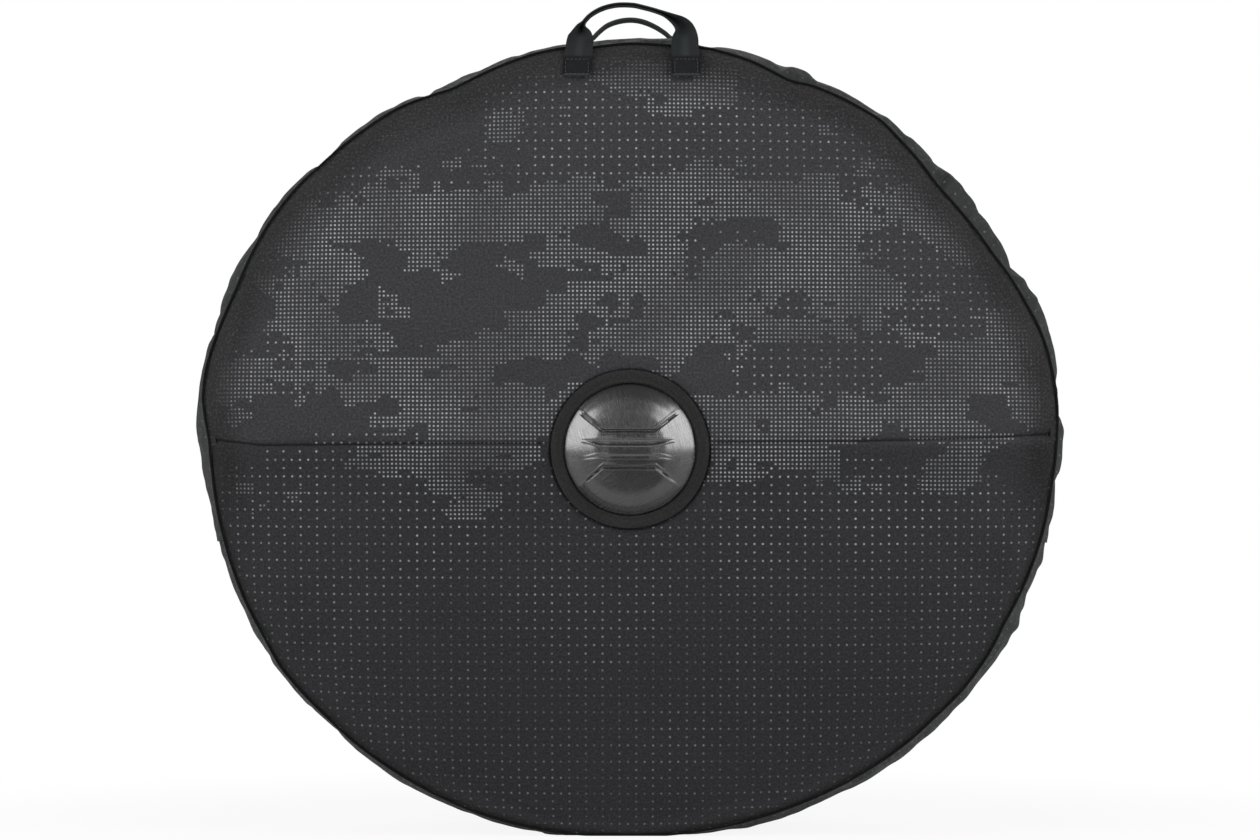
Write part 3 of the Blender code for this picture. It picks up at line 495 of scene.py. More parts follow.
def printed_cloth(name, base, shade, dots, seed, close=0.0, gloss=0.15, crumple=0.0):
    """Charcoal woven cloth with a generic print of fine pale dots on a square grid: close set in drifting
    patches, wide set or left out between them, and fading towards the seams."""
    cloth = Finish(name, base, 0.82, sheen_weight=0.05, sheen_roughness=0.5, specular_ior_level=gloss)
    place = cloth.place()
    along, across, strength = cloth.parts(place)
    cell = 0.0040

    def dot_grid(pitch, radius, shift):
        a, b = (along - shift) / pitch, (across - shift) / pitch
        cell_a, cell_b = a.floor(), b.floor()
        from_a, from_b = a - cell_a - 0.5, b - cell_b - 0.5
        away = ((from_a * from_a + from_b * from_b) ** 0.5) * pitch
        return away.ramp(radius * 1.35, radius * 0.5), cell_a, cell_b

    def block(wide, high):
        a, b = (along / (cell * wide)).floor(), (across / (cell * high)).floor()
        return cloth.point(a * cell * wide, b * cell * high * 1.6, seed)

    fine, cell_a, cell_b = dot_grid(cell, 0.00098, 0.0)
    drift = cloth.noise(block(1, 1), 9.0, 3.0, 0.6) * 0.62 + cloth.noise(block(5, 3), 11.0, 3.0, 0.7) * 0.38
    rise = across.ramp(0.24, 0.38, -0.16, 0.010)
    fall = across.ramp(0.58, 0.70, 0.0, -0.055)
    patch = (drift + rise + fall + close).over(0.5)
    wide, wide_a, wide_b = dot_grid(cell * 2, 0.00105, cell / 2)
    odd_a = wide_a * 0.5 - (wide_a * 0.5).floor()
    odd_b = wide_b * 0.5 - (wide_b * 0.5).floor()
    keep = 1.0 - (odd_a * odd_b * 4.0)
    region = cloth.noise(block(4, 4), 4.5, 2.0, 0.5) - close * 0.12
    region = region + across.ramp(0.30, 0.38, 0.20, -0.02) + across.ramp(0.56, 0.66, 0.0, 0.12)
    sparse = wide * keep * (1.0 - patch) * region.over(0.5)
    bright = cloth.chance(cloth.point(cell_a, cell_b, seed)) * 0.45 + 0.5
    # The dots' brightness drifts at random, and is dimmed towards the bottom as painted shade
    glow = cloth.noise(place, 12.0, 1.0).ramp(0.3, 0.7, 0.5, 1.1) * across.ramp(0.12, 0.42, 0.36, 1.0)
    mark = ((patch * fine + sparse) * bright * glow * strength).least(1.0)

    broad = cloth.noise(place, 5.0, 3.0, 0.6)
    uneven = cloth.noise(place, 26.0, 2.0, 0.55) - 0.5
    # Painted shade on the panels: the ground darkens to the shade colour, unevenly, where the print fades
    # towards the rim and round the hub ring
    ground = cloth.tint((strength + uneven * 0.9).ramp(-0.1, 1.0, 1.0, 0.0), base, shade)
    ground = cloth.tint(broad.ramp(0.3, 0.7, 0.0, 0.25), ground, shade)
    fibres = cloth.node("ShaderNodeVectorMath", {"operation": "MULTIPLY"}, {0: place, 1: (1.0, 1.0, 0.0)})
    grain = cloth.noise(fibres, 900.0, 2.0)
    slubs = cloth.noise(fibres, 430.0, 3.0, 0.7)
    ground = cloth.tint(grain.ramp(0.25, 0.75, 0.0, 0.4), ground, scaled(base, 0.62))
    ground = cloth.tint(slubs.ramp(0.50, 0.66, 0.0, 0.55), ground, scaled(base, 1.75))
    ground = cloth.tint(slubs.ramp(0.50, 0.34, 0.0, 0.65), ground, scaled(base, 0.42))
    # Painted shade: the ground darkens below the seam and further towards the bottom of the panels
    deep = across.ramp(SEAM_Z - 0.004, SEAM_Z + 0.004, 0.30, 0.0) + across.ramp(0.12, 0.34, 0.12, 0.0)
    ground = cloth.tint(deep, ground, (0.0, 0.0, 0.0))
    cloth.set("Base Color", cloth.tint(mark, ground, dots))
    cloth.set("Roughness", grain * 0.14 + 0.78 - mark * 0.2)
    weave = woven(along, across, 0.00085)
    threads = (weave * 0.55 + grain * 0.4 + slubs * 0.9 + mark * 0.25) * 0.00022
    wrinkles = cloth.noise(cloth.point(along, across * 0.45, seed), 75.0, 2.0, 0.55)
    cloth.relief(threads + wrinkles * crumple, 1.0, 0.8)
    return cloth


def plain_cloth(name, base, pitch=0.0008, roughness=0.78, depth=0.00015, lighter=1.35):
    """Plain woven cloth with uneven threads."""
    cloth = Finish(name, base, roughness, sheen_weight=0.05, specular_ior_level=0.18)
    place = cloth.place()
    along, across, _ = cloth.parts(place)
    threads = woven(along, across, pitch)
    uneven = cloth.noise(place, 420.0, 3.0, 0.6)
    soft = cloth.noise(place, 18.0, 2.0)
    ground = cloth.tint(uneven.ramp(0.3, 0.7), scaled(base, 0.7), scaled(base, lighter))
    ground = cloth.tint(soft.ramp(0.3, 0.75, 0.0, 0.3), ground, scaled(base, 0.6))
    cloth.set("Base Color", ground)
    cloth.set("Roughness", uneven * 0.14 + (roughness - 0.07))
    cloth.relief(threads * 0.6 + uneven * 0.5, depth, 0.75)
    return cloth


def ribbed_webbing(name, base):
    """Webbing: fine ribs along it, each made of short slanted stitches of yarn. Where it is sewn down its
    edges carry a painted shadow and its hem a painted highlight. Where it is loose it is paler, most along
    its middle, as a painted highlight."""
    rib_width, yarn = 0.0016, 0.0011
    cloth = Finish(name, base, 0.6, sheen_weight=0.02, specular_ior_level=0.13)
    place = cloth.place()
    along, across, sewn = cloth.parts(place)
    step = (across / rib_width).floor()
    slant = along + (across - step * rib_width) * 0.9 + (step * 0.5 - (step * 0.5).floor()) * yarn
    rib = (slant * (pi / yarn)).wave().size()
    row = (across * (pi / rib_width)).wave().size() ** 0.5
    fuzz = cloth.noise(place, 1300.0, 2.0)
    height = rib * row
    worn = cloth.noise(place, 140.0, 3.0, 0.6)
    shade = cloth.tint(height.ramp(0.1, 0.9), scaled(base, 0.35), scaled(base, 1.7))
    shade = cloth.tint(worn.ramp(0.35, 0.7, 0.0, 0.5), shade, scaled(base, 2.0))
    shade = cloth.tint(fuzz.ramp(0.3, 0.8, 0.0, 0.35), shade, scaled(base, 2.2))
    # Painted shadow: the webbing's edges turn near black where it is sewn down, as round the tabs
    edge = across.size().ramp(0.0117, 0.0127, 0.0, 0.9) * sewn.least(1.0)
    shade = cloth.tint(edge, shade, (0.0012, 0.0012, 0.0013))
    # Painted highlight: loose webbing is paler, most along its middle
    crest = across.size().ramp(0.001, 0.006, 0.55, 0.25) * sewn.ramp(0.0, 0.5, 1.0, 0.0)
    shade = cloth.tint(crest, shade, scaled(base, 6.5))
    # Painted highlight: the hem is paler along its roll
    cloth.set("Base Color", cloth.tint(sewn.ramp(1.2, 1.9, 0.0, 0.8), shade, scaled(base, 6.0)))
    cloth.set("Roughness", fuzz * 0.2 + 0.5)
    cloth.relief(height + fuzz * 0.3, 0.0003, 0.8)
    return cloth


def twisted_trim(name, base):
    """The tight black cloth over a piping cord."""
    cloth = Finish(name, base, 0.62, specular_ior_level=0.1)
    along, across, _ = cloth.parts(cloth.place())
    twill = ((along + across * 1.4) * (pi / 0.0009)).wave().size()
    fuzz = cloth.noise(cloth.place(), 900.0, 2.0)
    cloth.set("Base Color", cloth.tint(twill * 0.6 + fuzz * 0.3, scaled(base, 0.6), scaled(base, 1.7)))
    cloth.set("Roughness", fuzz * 0.2 + 0.52)
    cloth.relief(twill + fuzz * 0.4, 0.00018, 0.7)
    return cloth


def brushed_guard(name, base):
    """Black moulded plastic with the fine brushing of handling over its gloss."""
    guard = Finish(name, base, 0.3, specular_ior_level=1.0, coat_roughness=0.20, coat_ior=2.0)
    x, _, z = guard.parts(guard.object_place())
    z = z - HUB_Z
    arc = guard.node("ShaderNodeMath", {"operation": "ARCTAN2"}, {0: z, 1: x})
    radius = (x * x + z * z) ** 0.5
    rays = guard.noise(guard.point(arc * 26.0, radius * 12.0, 0.0), 1.0, 3.0, 0.75)

    def strokes(right, up, seed):
        across, along = (x * right + z * up) * 1500.0, (z * right - x * up) * 50.0
        return guard.noise(guard.point(across, along, seed), 1.0, 3.0, 0.75)

    low = z.ramp(-0.016, 0.006, 1.0, 0.0)
    brushing = strokes(0.95, 0.31, 3.0) * (1.0 - low) + strokes(0.5, -0.86, 7.0) * low
    marks = brushing * 0.8 + rays * 0.2
    cloud = guard.noise(guard.object_place(), 30.0, 2.0)
    guard.set("Roughness", marks.ramp(0.3, 0.7, 0.18, 0.36) + cloud * 0.04)
    guard.set("Base Color", guard.tint(marks.ramp(0.48, 0.74, 0.0, 0.8), base, scaled(base, 3.0)))
    guard.set("Coat Weight", marks.ramp(0.35, 0.65, 1.0, 0.55) * (1.0 - low * 0.75))
    guard.relief(marks, 0.0005, 0.6)
    return guard


def black_metal(name, base):
    """Black enamel over a zinc casting, rubbed brighter where fingers take it."""
    metal = Finish(name, base, 0.38, coat_roughness=0.25)
    place = metal.object_place()
    rub = metal.noise(place, 260.0, 3.0, 0.6)
    pits = metal.noise(place, 2400.0, 2.0)
    worn = (rub * 0.7 + pits * 0.3).ramp(0.52, 0.66)
    metal.set("Base Color", metal.tint(worn * 0.5, base, (0.09, 0.09, 0.095)))
    metal.set("Metallic", worn * 0.7)
    metal.set("Roughness", rub * 0.2 + 0.28)
    metal.relief(pits, 0.00005, 0.5)
    return metal


def coil_plastic(name, base):
    """Smooth dark plastic, a little flecked."""
    coil = Finish(name, base, 0.35, specular_ior_level=0.5)
    fleck = coil.noise(coil.object_place(), 700.0, 2.0)
    coil.set("Base Color", coil.tint(fleck, scaled(base, 0.7), scaled(base, 1.6)))
    coil.set("Roughness", fleck * 0.2 + 0.28)
    coil.relief(fleck, 0.00004, 0.4)
    return coil


CHARCOAL = (0.042, 0.042, 0.0465)
# Painted shade for the panels' rims and round the hub rings, which also darkens their random mottle
PAINTED_EDGE_SHADE_AND_MOTTLE = (0.023, 0.0215, 0.0205)
DOT_GREY = (0.42, 0.43, 0.45)
GUSSET_GREY = (0.0135, 0.0155, 0.0160)
GUSSET_EDGE = (0.011, 0.0125, 0.013)
GUSSET_DOT = (0.17, 0.18, 0.18)
front_cloth = printed_cloth("front_printed_cloth", CHARCOAL, PAINTED_EDGE_SHADE_AND_MOTTLE, DOT_GREY, 3.0)
back_cloth = printed_cloth("back_printed_cloth", CHARCOAL, PAINTED_EDGE_SHADE_AND_MOTTLE, DOT_GREY, 8.0)
gusset_cloth = printed_cloth(
    "gusset_printed_cloth", GUSSET_GREY, GUSSET_EDGE, GUSSET_DOT, 5.0, close=-2.6, gloss=0.5, crumple=0.011
)
lining_cloth = plain_cloth("grey_lining_cloth", (0.085, 0.086, 0.090), 0.0011)
divider_cloth = plain_cloth("divider_cloth", (0.060, 0.061, 0.065), 0.0012)
patch_cloth = plain_cloth("divider_patch_cloth", (0.028, 0.028, 0.030), 0.0016, 0.7, 0.0003)
ring_cloth = plain_cloth("hub_ring_cloth", (0.0168, 0.0168, 0.0164), 0.0012, 0.75, 0.0003, 1.6)
webbing = ribbed_webbing("black_webbing", (0.0062, 0.0072, 0.0075))
tape_cloth = ribbed_webbing("zip_tape_cloth", (0.010, 0.0105, 0.011))
trim = twisted_trim("black_piping_cloth", (0.0028, 0.0028, 0.0030))
edge_trim = twisted_trim("black_edge_binding", (0.0070, 0.0070, 0.0072))
thread = plain_cloth("black_thread", (0.020, 0.021, 0.021), 0.0006, 0.55)
tab_thread = plain_cloth("tab_thread", (0.050, 0.052, 0.054), 0.0006, 0.55)
guard_plastic = brushed_guard("black_guard_plastic", (0.0030, 0.0031, 0.0032))
coil = coil_plastic("black_zip_coil", (0.010, 0.010, 0.011))
slider_metal = black_metal("black_slider_metal", (0.012, 0.012, 0.013))


def cross_fold(piece):
    """Bakes the placement of a piece of the front into its mesh."""
    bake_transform(piece)


# Settling of cloth

SETTLE_FRAMES = 12
CLOTH_SETTINGS = {
    "quality": 5, "mass": 0.15,
    "tension_stiffness": 20, "compression_stiffness": 20, "shear_stiffness": 6, "bending_stiffness": 0.4,
    "air_damping": 3, "tension_damping": 12, "compression_damping": 12, "shear_damping": 12,
    "vertex_group_mass": "sewn", "pin_stiffness": 5, "use_pressure": True,
}


def spread(values, rows, columns, to_rows, to_columns, period=None):
    """A grid of vectors at these row and column places, eased onto a finer grid's places."""
    down = np.stack([
        np.stack([np.interp(to_rows, rows, values[:, j, k]) for j in range(values.shape[1])], axis=1)
        for k in range(3)
    ], axis=-1)
    fine = np.stack([
        np.stack([np.interp(to_columns, columns, down[i, :, k], period=period) for i in range(down.shape[0])])
        for k in range(3)
    ], axis=-1)
    reach = max(1, round(0.6 * len(to_rows) / len(rows)))
    for _ in range(reach):
        fine[1:-1] = (fine[:-2] + 2 * fine[1:-1] + fine[2:]) / 4
    for _ in range(2):
        if period:
            fine = (np.roll(fine, 1, axis=1) + 2 * fine + np.roll(fine, -1, axis=1)) / 4
        else:
            fine[:, 1:-1] = (fine[:, :-2] + 2 * fine[:, 1:-1] + fine[:, 2:]) / 4
    return fine


def settle(name, points, held, wrap, pressure, spare, reach):
    """How far cloth between its seams moves under pressure, with some spare cloth in it. Held is how firmly
    each point of the grid is sewn down, and reach is the furthest that a point may move."""
    rows, columns = points.shape[:2]
    piece = grid_mesh(name, points, [lining_cloth], wrap_rows=wrap)
    group = piece.vertex_groups.new(name="sewn")
    flat = np.round(held.reshape(-1), 1)
    for weight in np.unique(flat):
        if weight > 0:
            group.add(np.nonzero(flat == weight)[0].tolist(), float(weight), "REPLACE")
    cloth = piece.modifiers.new("settling", "CLOTH")
    for setting, value in CLOTH_SETTINGS.items():
        setattr(cloth.settings, setting, value)
    cloth.settings.shrink_min = -spare
    cloth.settings.uniform_pressure_force = pressure
    cloth.settings.effector_weights.gravity = 0
    cloth.collision_settings.use_collision = False
    cloth.collision_settings.use_self_collision = False
    cloth.point_cache.frame_start = 1
    cloth.point_cache.frame_end = SETTLE_FRAMES
    for number in range(1, SETTLE_FRAMES + 1):
        scene.frame_set(number)
    graph = bpy.context.evaluated_depsgraph_get()
    settled = piece.evaluated_get(graph).to_mesh()
    spots = np.empty(rows * columns * 3, dtype=np.float32)
    settled.vertices.foreach_get("co", spots)
    spots = spots.reshape(rows, columns, 3).astype(float)
    scene.frame_set(1)
    bpy.data.objects.remove(piece)
    moved = spots - points
    far = np.linalg.norm(moved, axis=-1, keepdims=True)
    moved *= np.minimum(1, reach / np.maximum(far, 1e-9))
    return moved * (1 - held[..., None])


# Panels


def piping_line(side, turns):
    """The middle of the piping cord at these turns."""
    inset = piping_inset(turns, side) + CORD_RADIUS * 0.5
    return oval(turns, inset, side * GUSSET_HALF)


def polar_reach(side, angles):
    """How far the piping lies from the seam's middle, in the directions of these angles from the top."""
    turns = np.linspace(0, 2 * pi, 1441)[:-1]
    line = piping_line(side, turns)
    x, z = line[:, 0], line[:, 2] - SEAM_Z
    heading = np.arctan2(x, z) % (2 * pi)
    order = np.argsort(heading)
    return np.interp(angles % (2 * pi), heading[order], np.hypot(x, z)[order], period=2 * pi)


def seam_height(x, side):
    """Height of the seam across the panel, which dips and rises a little."""
    knots = np.array([-0.40, -0.35, -0.20, -0.07, 0.08, 0.22, 0.33, 0.404])
    rises = np.array([3.4, -2.3, -0.5, -0.4, 0.5, 1.8, 4.5, 8.5]) * 0.001
    rise = np.interp(x if side < 0 else -x * 0.96, knots, rises)
    return rise * (1 if side < 0 else 0.6)


def panel_angles():
    """Directions of the panel's columns, closer together near the seam."""
    close = np.geomspace(0.06, 3.6, 14)
    close = np.concatenate([-close[::-1], [0.0], close])
    even = np.array([a for a in range(360) if min(abs(a - 90), abs(a - 270)) > 3.7])
    return np.radians(np.sort(np.concatenate([even, 90 + close, 270 + close])))


def panel_grid(side, shares, angles):
    """Flat grid of a panel from the hub's hole to the piping: x, z and the distance in from the rim."""
    out_x, out_z = np.sin(angles), np.cos(angles)
    drop = SEAM_Z - HUB_Z
    start = -drop * out_z + np.sqrt(HOLE_RADIUS**2 - (drop * out_x) ** 2)
    reach = polar_reach(side, angles) - 0.0006
    away = start[None] + (reach - start)[None] * shares[:, None]
    x, z = away * out_x, SEAM_Z + away * out_z
    rim = (1 - shares)[:, None] * (reach - start)[None]
    return x, z, rim


def crown_height(x, z, rim):
    """How far the padding stands out over the flat panel: level round the hub, then falling to the rim."""
    from_seat = np.hypot(x, z - HUB_Z) - SEAT_RADIUS
    share = np.clip(from_seat / np.maximum(from_seat + rim, 1e-6), 0, 1)
    return CROWN * (1 - share**3)


def raised(x, height, z, side):
    """Points at these heights over the flat panel of one side."""
    return np.stack([x, side * (PANEL_FACE + height), z], axis=-1)


# Soft dents where the cloth is drawn towards the rim: place across and up from the seam's middle, depth,
# half width across and along the line to the middle, in millimetres
DENTS = (
    (154, 326, 3.0, 13, 30), (286, 228, 4.5, 17, 36), (256, 268, 2.5, 14, 26), (334, 136, 3.5, 13, 32),
    (362, 60, 3.0, 11, 28), (-330, 120, 2.2, 12, 28), (-262, 238, 2.0, 13, 30), (-150, 318, 3.0, 13, 28),
    (330, -120, 2.0, 12, 30), (-300, -190, 1.8, 12, 30), (120, -330, 1.5, 12, 26), (-366, 20, 3.0, 13, 28),
)


def dents(x, z, side):
    """Depth of the soft dents at these places of a panel, in metres."""
    depth = np.zeros(np.shape(x))
    for across, up, deep, narrow, long in DENTS:
        if side > 0:
            across, up = -across * 0.97, up * 0.93
        far = hypot(across, up)
        way_x, way_z = across / far, up / far
        from_x, from_z = x * 1000 - across, (z - SEAM_Z) * 1000 - up
        along, beside = from_x * way_x + from_z * way_z, from_x * way_z - from_z * way_x
        narrow = narrow * (1 + 0.5 * np.clip(-along / long, 0, 2))
        depth = depth + deep * np.exp(-((along / long) ** 2) - (beside / narrow) ** 2)
    return depth * (0.001 if side < 0 else 0.0006)


def panel_face(side, shares, angles):
    """The panel's outer cloth: crowned, dented along its seam, gathered at its rim and softly uneven. Gives
    its points, its cloth coordinates, and how far each point is from the rim and from the seam."""
    x, z, rim = panel_grid(side, shares, angles)
    rise = seam_height(x, side)
    z = z + rise * np.exp(-(((z - SEAM_Z) / 0.05) ** 2)) * ease(rim, 0.0, 0.012)
    from_hub = np.hypot(x, z - HUB_Z)
    from_ring = from_hub - RING_RADIUS
    from_seam = z - (SEAM_Z + rise)
    away_hub = ease(from_ring, -0.004, 0.012)

    above = np.exp(-np.clip(from_seam, 0, None) / 0.0075)
    below = np.exp(-np.clip(-from_seam, 0, None) / 0.0050)
    roll = np.where(from_seam > 0, above, below) * 0.0042 * away_hub
    crease = 0.0022 * np.exp(-((from_seam / 0.0013) ** 2)) * away_hub

    seed = 11 if side < 0 else 23
    turn = np.arctan2(x / HALF_WIDTH, (z - CENTRE_Z) / HALF_HEIGHT)
    way = turn * RIM_RADIUS
    soft = swell(x, z, 0.11, seed) * 0.0010 + swell(x, z, 0.045, seed + 1) * 0.0003
    broad = swell(way, rim * 0.5, 0.10, seed + 2) * 0.0022 * np.exp(-rim / 0.045) * ease(rim, 0.0, 0.025)
    gathers = swell(way, rim * 0.12, 0.017, seed + 3) * 0.0006 * np.exp(-rim / 0.012)
    wander = swell(rim, turn, 0.05, seed + 4) * 0.01
    pulled = creases(turn + wander, side) * 0.45 * np.exp(-rim / 0.020)
    tuck = 0.0020 * np.exp(-rim / 0.0022)

    sewn = 0.0016 * np.exp(-(((from_ring - 0.0009) / 0.0011) ** 2))
    sewn = sewn + 0.0011 * np.exp(-np.clip(from_ring, 0, None) / 0.006) * ease(from_ring, -0.001, 0.0)
    uneven = (soft + broad - dents(x, z, side)) * away_hub * ease(rim, 0.0, 0.02)
    height = crown_height(x, z, rim) - roll - crease + uneven + gathers - pulled - tuck - sewn

    # The print fades towards the rim and round the hub ring; the cloth's finish paints shade with the same
    # share
    fade = ease(rim, 0.006, 0.052)
    fade = fade + (ease(rim, 0.001, 0.010) - fade) * ease(z, 0.37, 0.25)
    fade = fade * ease(from_ring, 0.0005, 0.0030)
    drawn = 1 + 0.008 * np.exp(-rim / 0.032) / np.maximum(from_hub, 0.05)
    place = np.stack([x * drawn, HUB_Z + (z - HUB_Z) * drawn, fade], axis=-1)
    return raised(x, height, z, side), place, rim, from_seam


def joined_shares(*parts):
    """Shares from part to part, without the last of each part that another one starts with."""
    return np.concatenate([part[:-1] for part in parts[:-1]] + [parts[-1]])


# Rows of a panel from the hub's hole to the rim: its face, the face as it is settled, and its inner side
OUTER_SHARES = joined_shares(
    np.linspace(0, 0.048, 4), np.linspace(0.048, 0.085, 22), np.linspace(0.085, 0.90, 58),
    np.linspace(0.90, 1.0, 22),
)
COARSE_SHARES = joined_shares(np.linspace(0, 0.9, 30), np.linspace(0.9, 1.0, 8))
INNER_SHARES = joined_shares(np.linspace(0, 0.9, 34), np.linspace(0.9, 1.0, 6))


def make_panel(name, side, finish, nodes):
    """A padded panel: printed cloth outside, foam in it, closed at the hub's hole and at the rim."""
    angles = panel_angles()
    points, place, rim, _ = panel_face(side, OUTER_SHARES, angles)

    coarse_angles = np.radians(np.arange(0, 360, 2.0))
    coarse, _, coarse_rim, from_seam = panel_face(side, COARSE_SHARES, coarse_angles)
    held = np.clip(np.exp(-((coarse_rim / 0.006) ** 2)) + np.exp(-((from_seam / 0.006) ** 2)), 0, 1)
    held = np.maximum(held, 1 - ease(np.hypot(coarse[..., 0], coarse[..., 2] - HUB_Z), 0.074, 0.086))
    by_angle = coarse.transpose(1, 0, 2)
    moved = settle(name, by_angle, held.T, True, pressure=-0.6 * side, spare=0.004, reach=0.004)
    moved = spread(moved.transpose(1, 0, 2), COARSE_SHARES, coarse_angles, OUTER_SHARES, angles, 2 * pi)
    points = points + moved * ease(rim, 0.0, 0.006)[..., None]

    x, z, rim = panel_grid(side, INNER_SHARES, angles)
    inner = raised(x, crown_height(x, z, rim) - PAD_DEPTH, z, side)
    loop = np.concatenate([points, inner[::-1]], axis=0)
    loop_place = np.concatenate([place, flat_place(inner[::-1])], axis=0)
    made = closed_grid(name, loop, finish, loop_place, wrap_rows=True, wrap_columns=True)
    stands_for(made, "printed_cloth", *nodes)
    return made


def make_lining(name, side, nodes):
    """The lining behind a panel: a thin cloth round the hub's hole, a little slack."""
    x, z, rim = panel_grid(side, INNER_SHARES, panel_angles())
    loose = ease(rim, 0.0, 0.02) * ease(np.hypot(x, z - HUB_Z), 0.06, 0.09)
    slack = swell(x, z, 0.07, 31 if side < 0 else 37) * 0.0009 * loose
    height = crown_height(x, z, rim) - PAD_DEPTH - 0.0011 + slack
    outer, inner = (raised(x, height - drop, z, side) for drop in (0.0003, 0.0012))
    loop = np.concatenate([outer, inner[::-1]], axis=0)
    made = closed_grid(name, loop, lining_cloth, flat_place(loop), wrap_rows=True, wrap_columns=True)
    stands_for(made, "lining", *nodes)
    return made


front_nodes = ("lid_panel_cloth", "lid_panel_foam", "front_apron_cloth", "front_apron_foam")
cross_fold(make_panel("front_panel", -1, front_cloth, front_nodes))
cross_fold(make_lining("front_lining", -1, ("lid_panel_lining", "front_apron_lining")))
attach(make_panel("back_panel", 1, back_cloth, ("back_panel_cloth", "back_panel_foam")), "shell")
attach(make_lining("back_lining", 1, ("back_panel_lining",)), "shell")


# Gusset


def strip_profile(turns, side, shares):
    """The zipped gusset's section at these turns: its distance y from the middle and its inset, from the
    piping over the crest down to the zip's tape. Shares run from 0 at the piping to 1 at the zip."""
    edge = piping_inset(turns, side)[:, None] + EDGE_LAP
    out = outline_out(turns, side)[:, None]
    valley = (track_inset(turns) - TAPE_LIFT)[:, None]
    y = EDGE_Y + (STRIP_GAP - EDGE_Y) * shares[None]
    crest = 0.36
    rise = 1 - np.clip((crest - shares[None]) / crest, 0, 1) ** BULGE
    fall = ease(shares[None], 0.62, 1.0)
    inset = edge * (1 - rise) - out * rise
    inset = inset + (valley - inset) * fall
    return np.broadcast_to(y, inset.shape), inset


def gusset_relief(turns, side, shares, away):
    """Puckers of the gusset: gathers at its seams, creases, and a soft unevenness."""
    t, s = turns[:, None], shares[None]
    way = t * RIM_RADIUS
    wander = swell(way, s * 0.1, 0.05, 41 + side) * 0.02
    crease = creases(t + (s - 0.2) * 0.05 + wander, side) * np.exp(-(((s - 0.05) / 0.08) ** 2))
    fine = swell(way, s * 0.05, 0.014, 43 + side) * 0.0005 * (np.exp(-s / 0.12) + np.exp(-(1 - s) / 0.10))
    crest = np.exp(-(((s - 0.36) / 0.12) ** 2))
    folds = swell(way + s * 0.012, s * 0.06, 0.040, 45 + side) * 0.0009 * (1 - 0.65 * crest)
    broad = swell(way, s * 0.09, 0.12, 47 + side) * 0.0010 * (1 - 0.7 * crest)
    room = ease(piping_inset(turns, side) + outline_out(turns, side), 0.005, 0.013)[:, None]
    room = room * np.exp(-(((s - 0.12) / 0.16) ** 2))
    gathered = swell(way + s * 0.02, s * 0.012, 0.015, 49 + side) * 0.0026 * room
    return crease - (fine + folds + broad + gathered) * away


def fullness(turns, share):
    """How far the cloth stands out at the zip's ends. It is held there, and so doesn't settle outward."""
    near = np.exp(-(((np.abs(turns) - ZIP_END) / 0.06) ** 2))
    return 0.0022 * near * ease(share, 0.0, 0.25) * (1 - ease(share, 0.6, 0.9))


def gusset_place(points, y):
    """The gusset's own coordinates. Its print is strong beside the piping and weak elsewhere."""
    place = np.zeros(points.shape)
    place[..., 0] = run_length(points[:, 4])[:, None]
    place[..., 1] = y + PRINT_SHIFT
    place[..., 2] = 0.12 + 0.88 * np.exp(-(((EDGE_Y - np.abs(y)) / 0.011) ** 2))
    return place


def thick_strip(name, outer, place, nodes):
    """A padded strip of the gusset: its cloth outside and its lining inside, closed round its edges."""
    out = outer - CENTRE_Z * UP
    out[..., 1] = 0
    inner = outer - unit(out) * WALL
    columns = outer.shape[1]
    loop = np.concatenate([outer, inner[:, ::-1]], axis=1)
    loop_place = np.concatenate([place, place[:, ::-1] * np.array([1, 1, 0])], axis=1)
    kinds = np.zeros((outer.shape[0] - 1, 2 * columns), int)
    kinds[:, columns:-1] = 1
    cloths = [gusset_cloth, lining_cloth]
    made = outward(grid_mesh(name, loop, cloths, loop_place, wrap_columns=True, caps=True, parts=kinds))
    stands_for(made, "printed_cloth", *nodes)
    return made


def every_second(values):
    """The places of every second value, and of the last one."""
    return np.unique(np.append(np.arange(0, len(values), 2), len(values) - 1))


def settled_strip(name, points, held, turns, across, **amounts):
    """The strip's points after its cloth has settled, worked out on every second point."""
    rows, columns = every_second(turns), every_second(across)
    pick = np.ix_(rows, columns)
    moved = settle(name, points[pick], held[pick], False, **amounts)
    return points + spread(moved, turns[rows], across[columns], turns, across)


def make_strip(name, side, nodes):
    """One side of the zipped gusset, from end to end of the zip."""
    turns = np.linspace(-ZIP_END, ZIP_END, 520)
    shares = joined_shares(np.linspace(0, 0.5, 18), np.linspace(0.5, 1.0, 12))
    y, inset = strip_profile(turns, side, shares)
    away = (ease(shares, 0.0, 0.12) * ease(1 - shares, 0.0, 0.2))[None]
    between = (ease(shares, 0.0, 0.08) * ease(1 - shares, 0.0, 0.12))[None]
    inset = inset + gusset_relief(turns, side, shares, away) * between
    inset = inset - fullness(turns[:, None], shares[None])
    points = oval(turns[:, None], inset, side * y)
    sewn = 1 - (ease(shares, 0.0, 0.10) * ease(1 - shares, 0.0, 0.14))[None]
    held = np.maximum(sewn, (1 - ease(ZIP_END - np.abs(turns), 0.0, 0.03))[:, None])
    amounts = {"pressure": 0.45 * side, "spare": 0.025, "reach": 0.004}
    points = settled_strip(name, points, held, turns, shares, **amounts)
    return thick_strip(name, points, gusset_place(points, y), nodes)


cross_fold(make_strip("front_gusset", -1, ("front_gusset_cloth", "front_gusset_padding")))
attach(make_strip("rear_gusset", 1, ("rear_gusset_cloth", "rear_gusset_padding")), "shell")


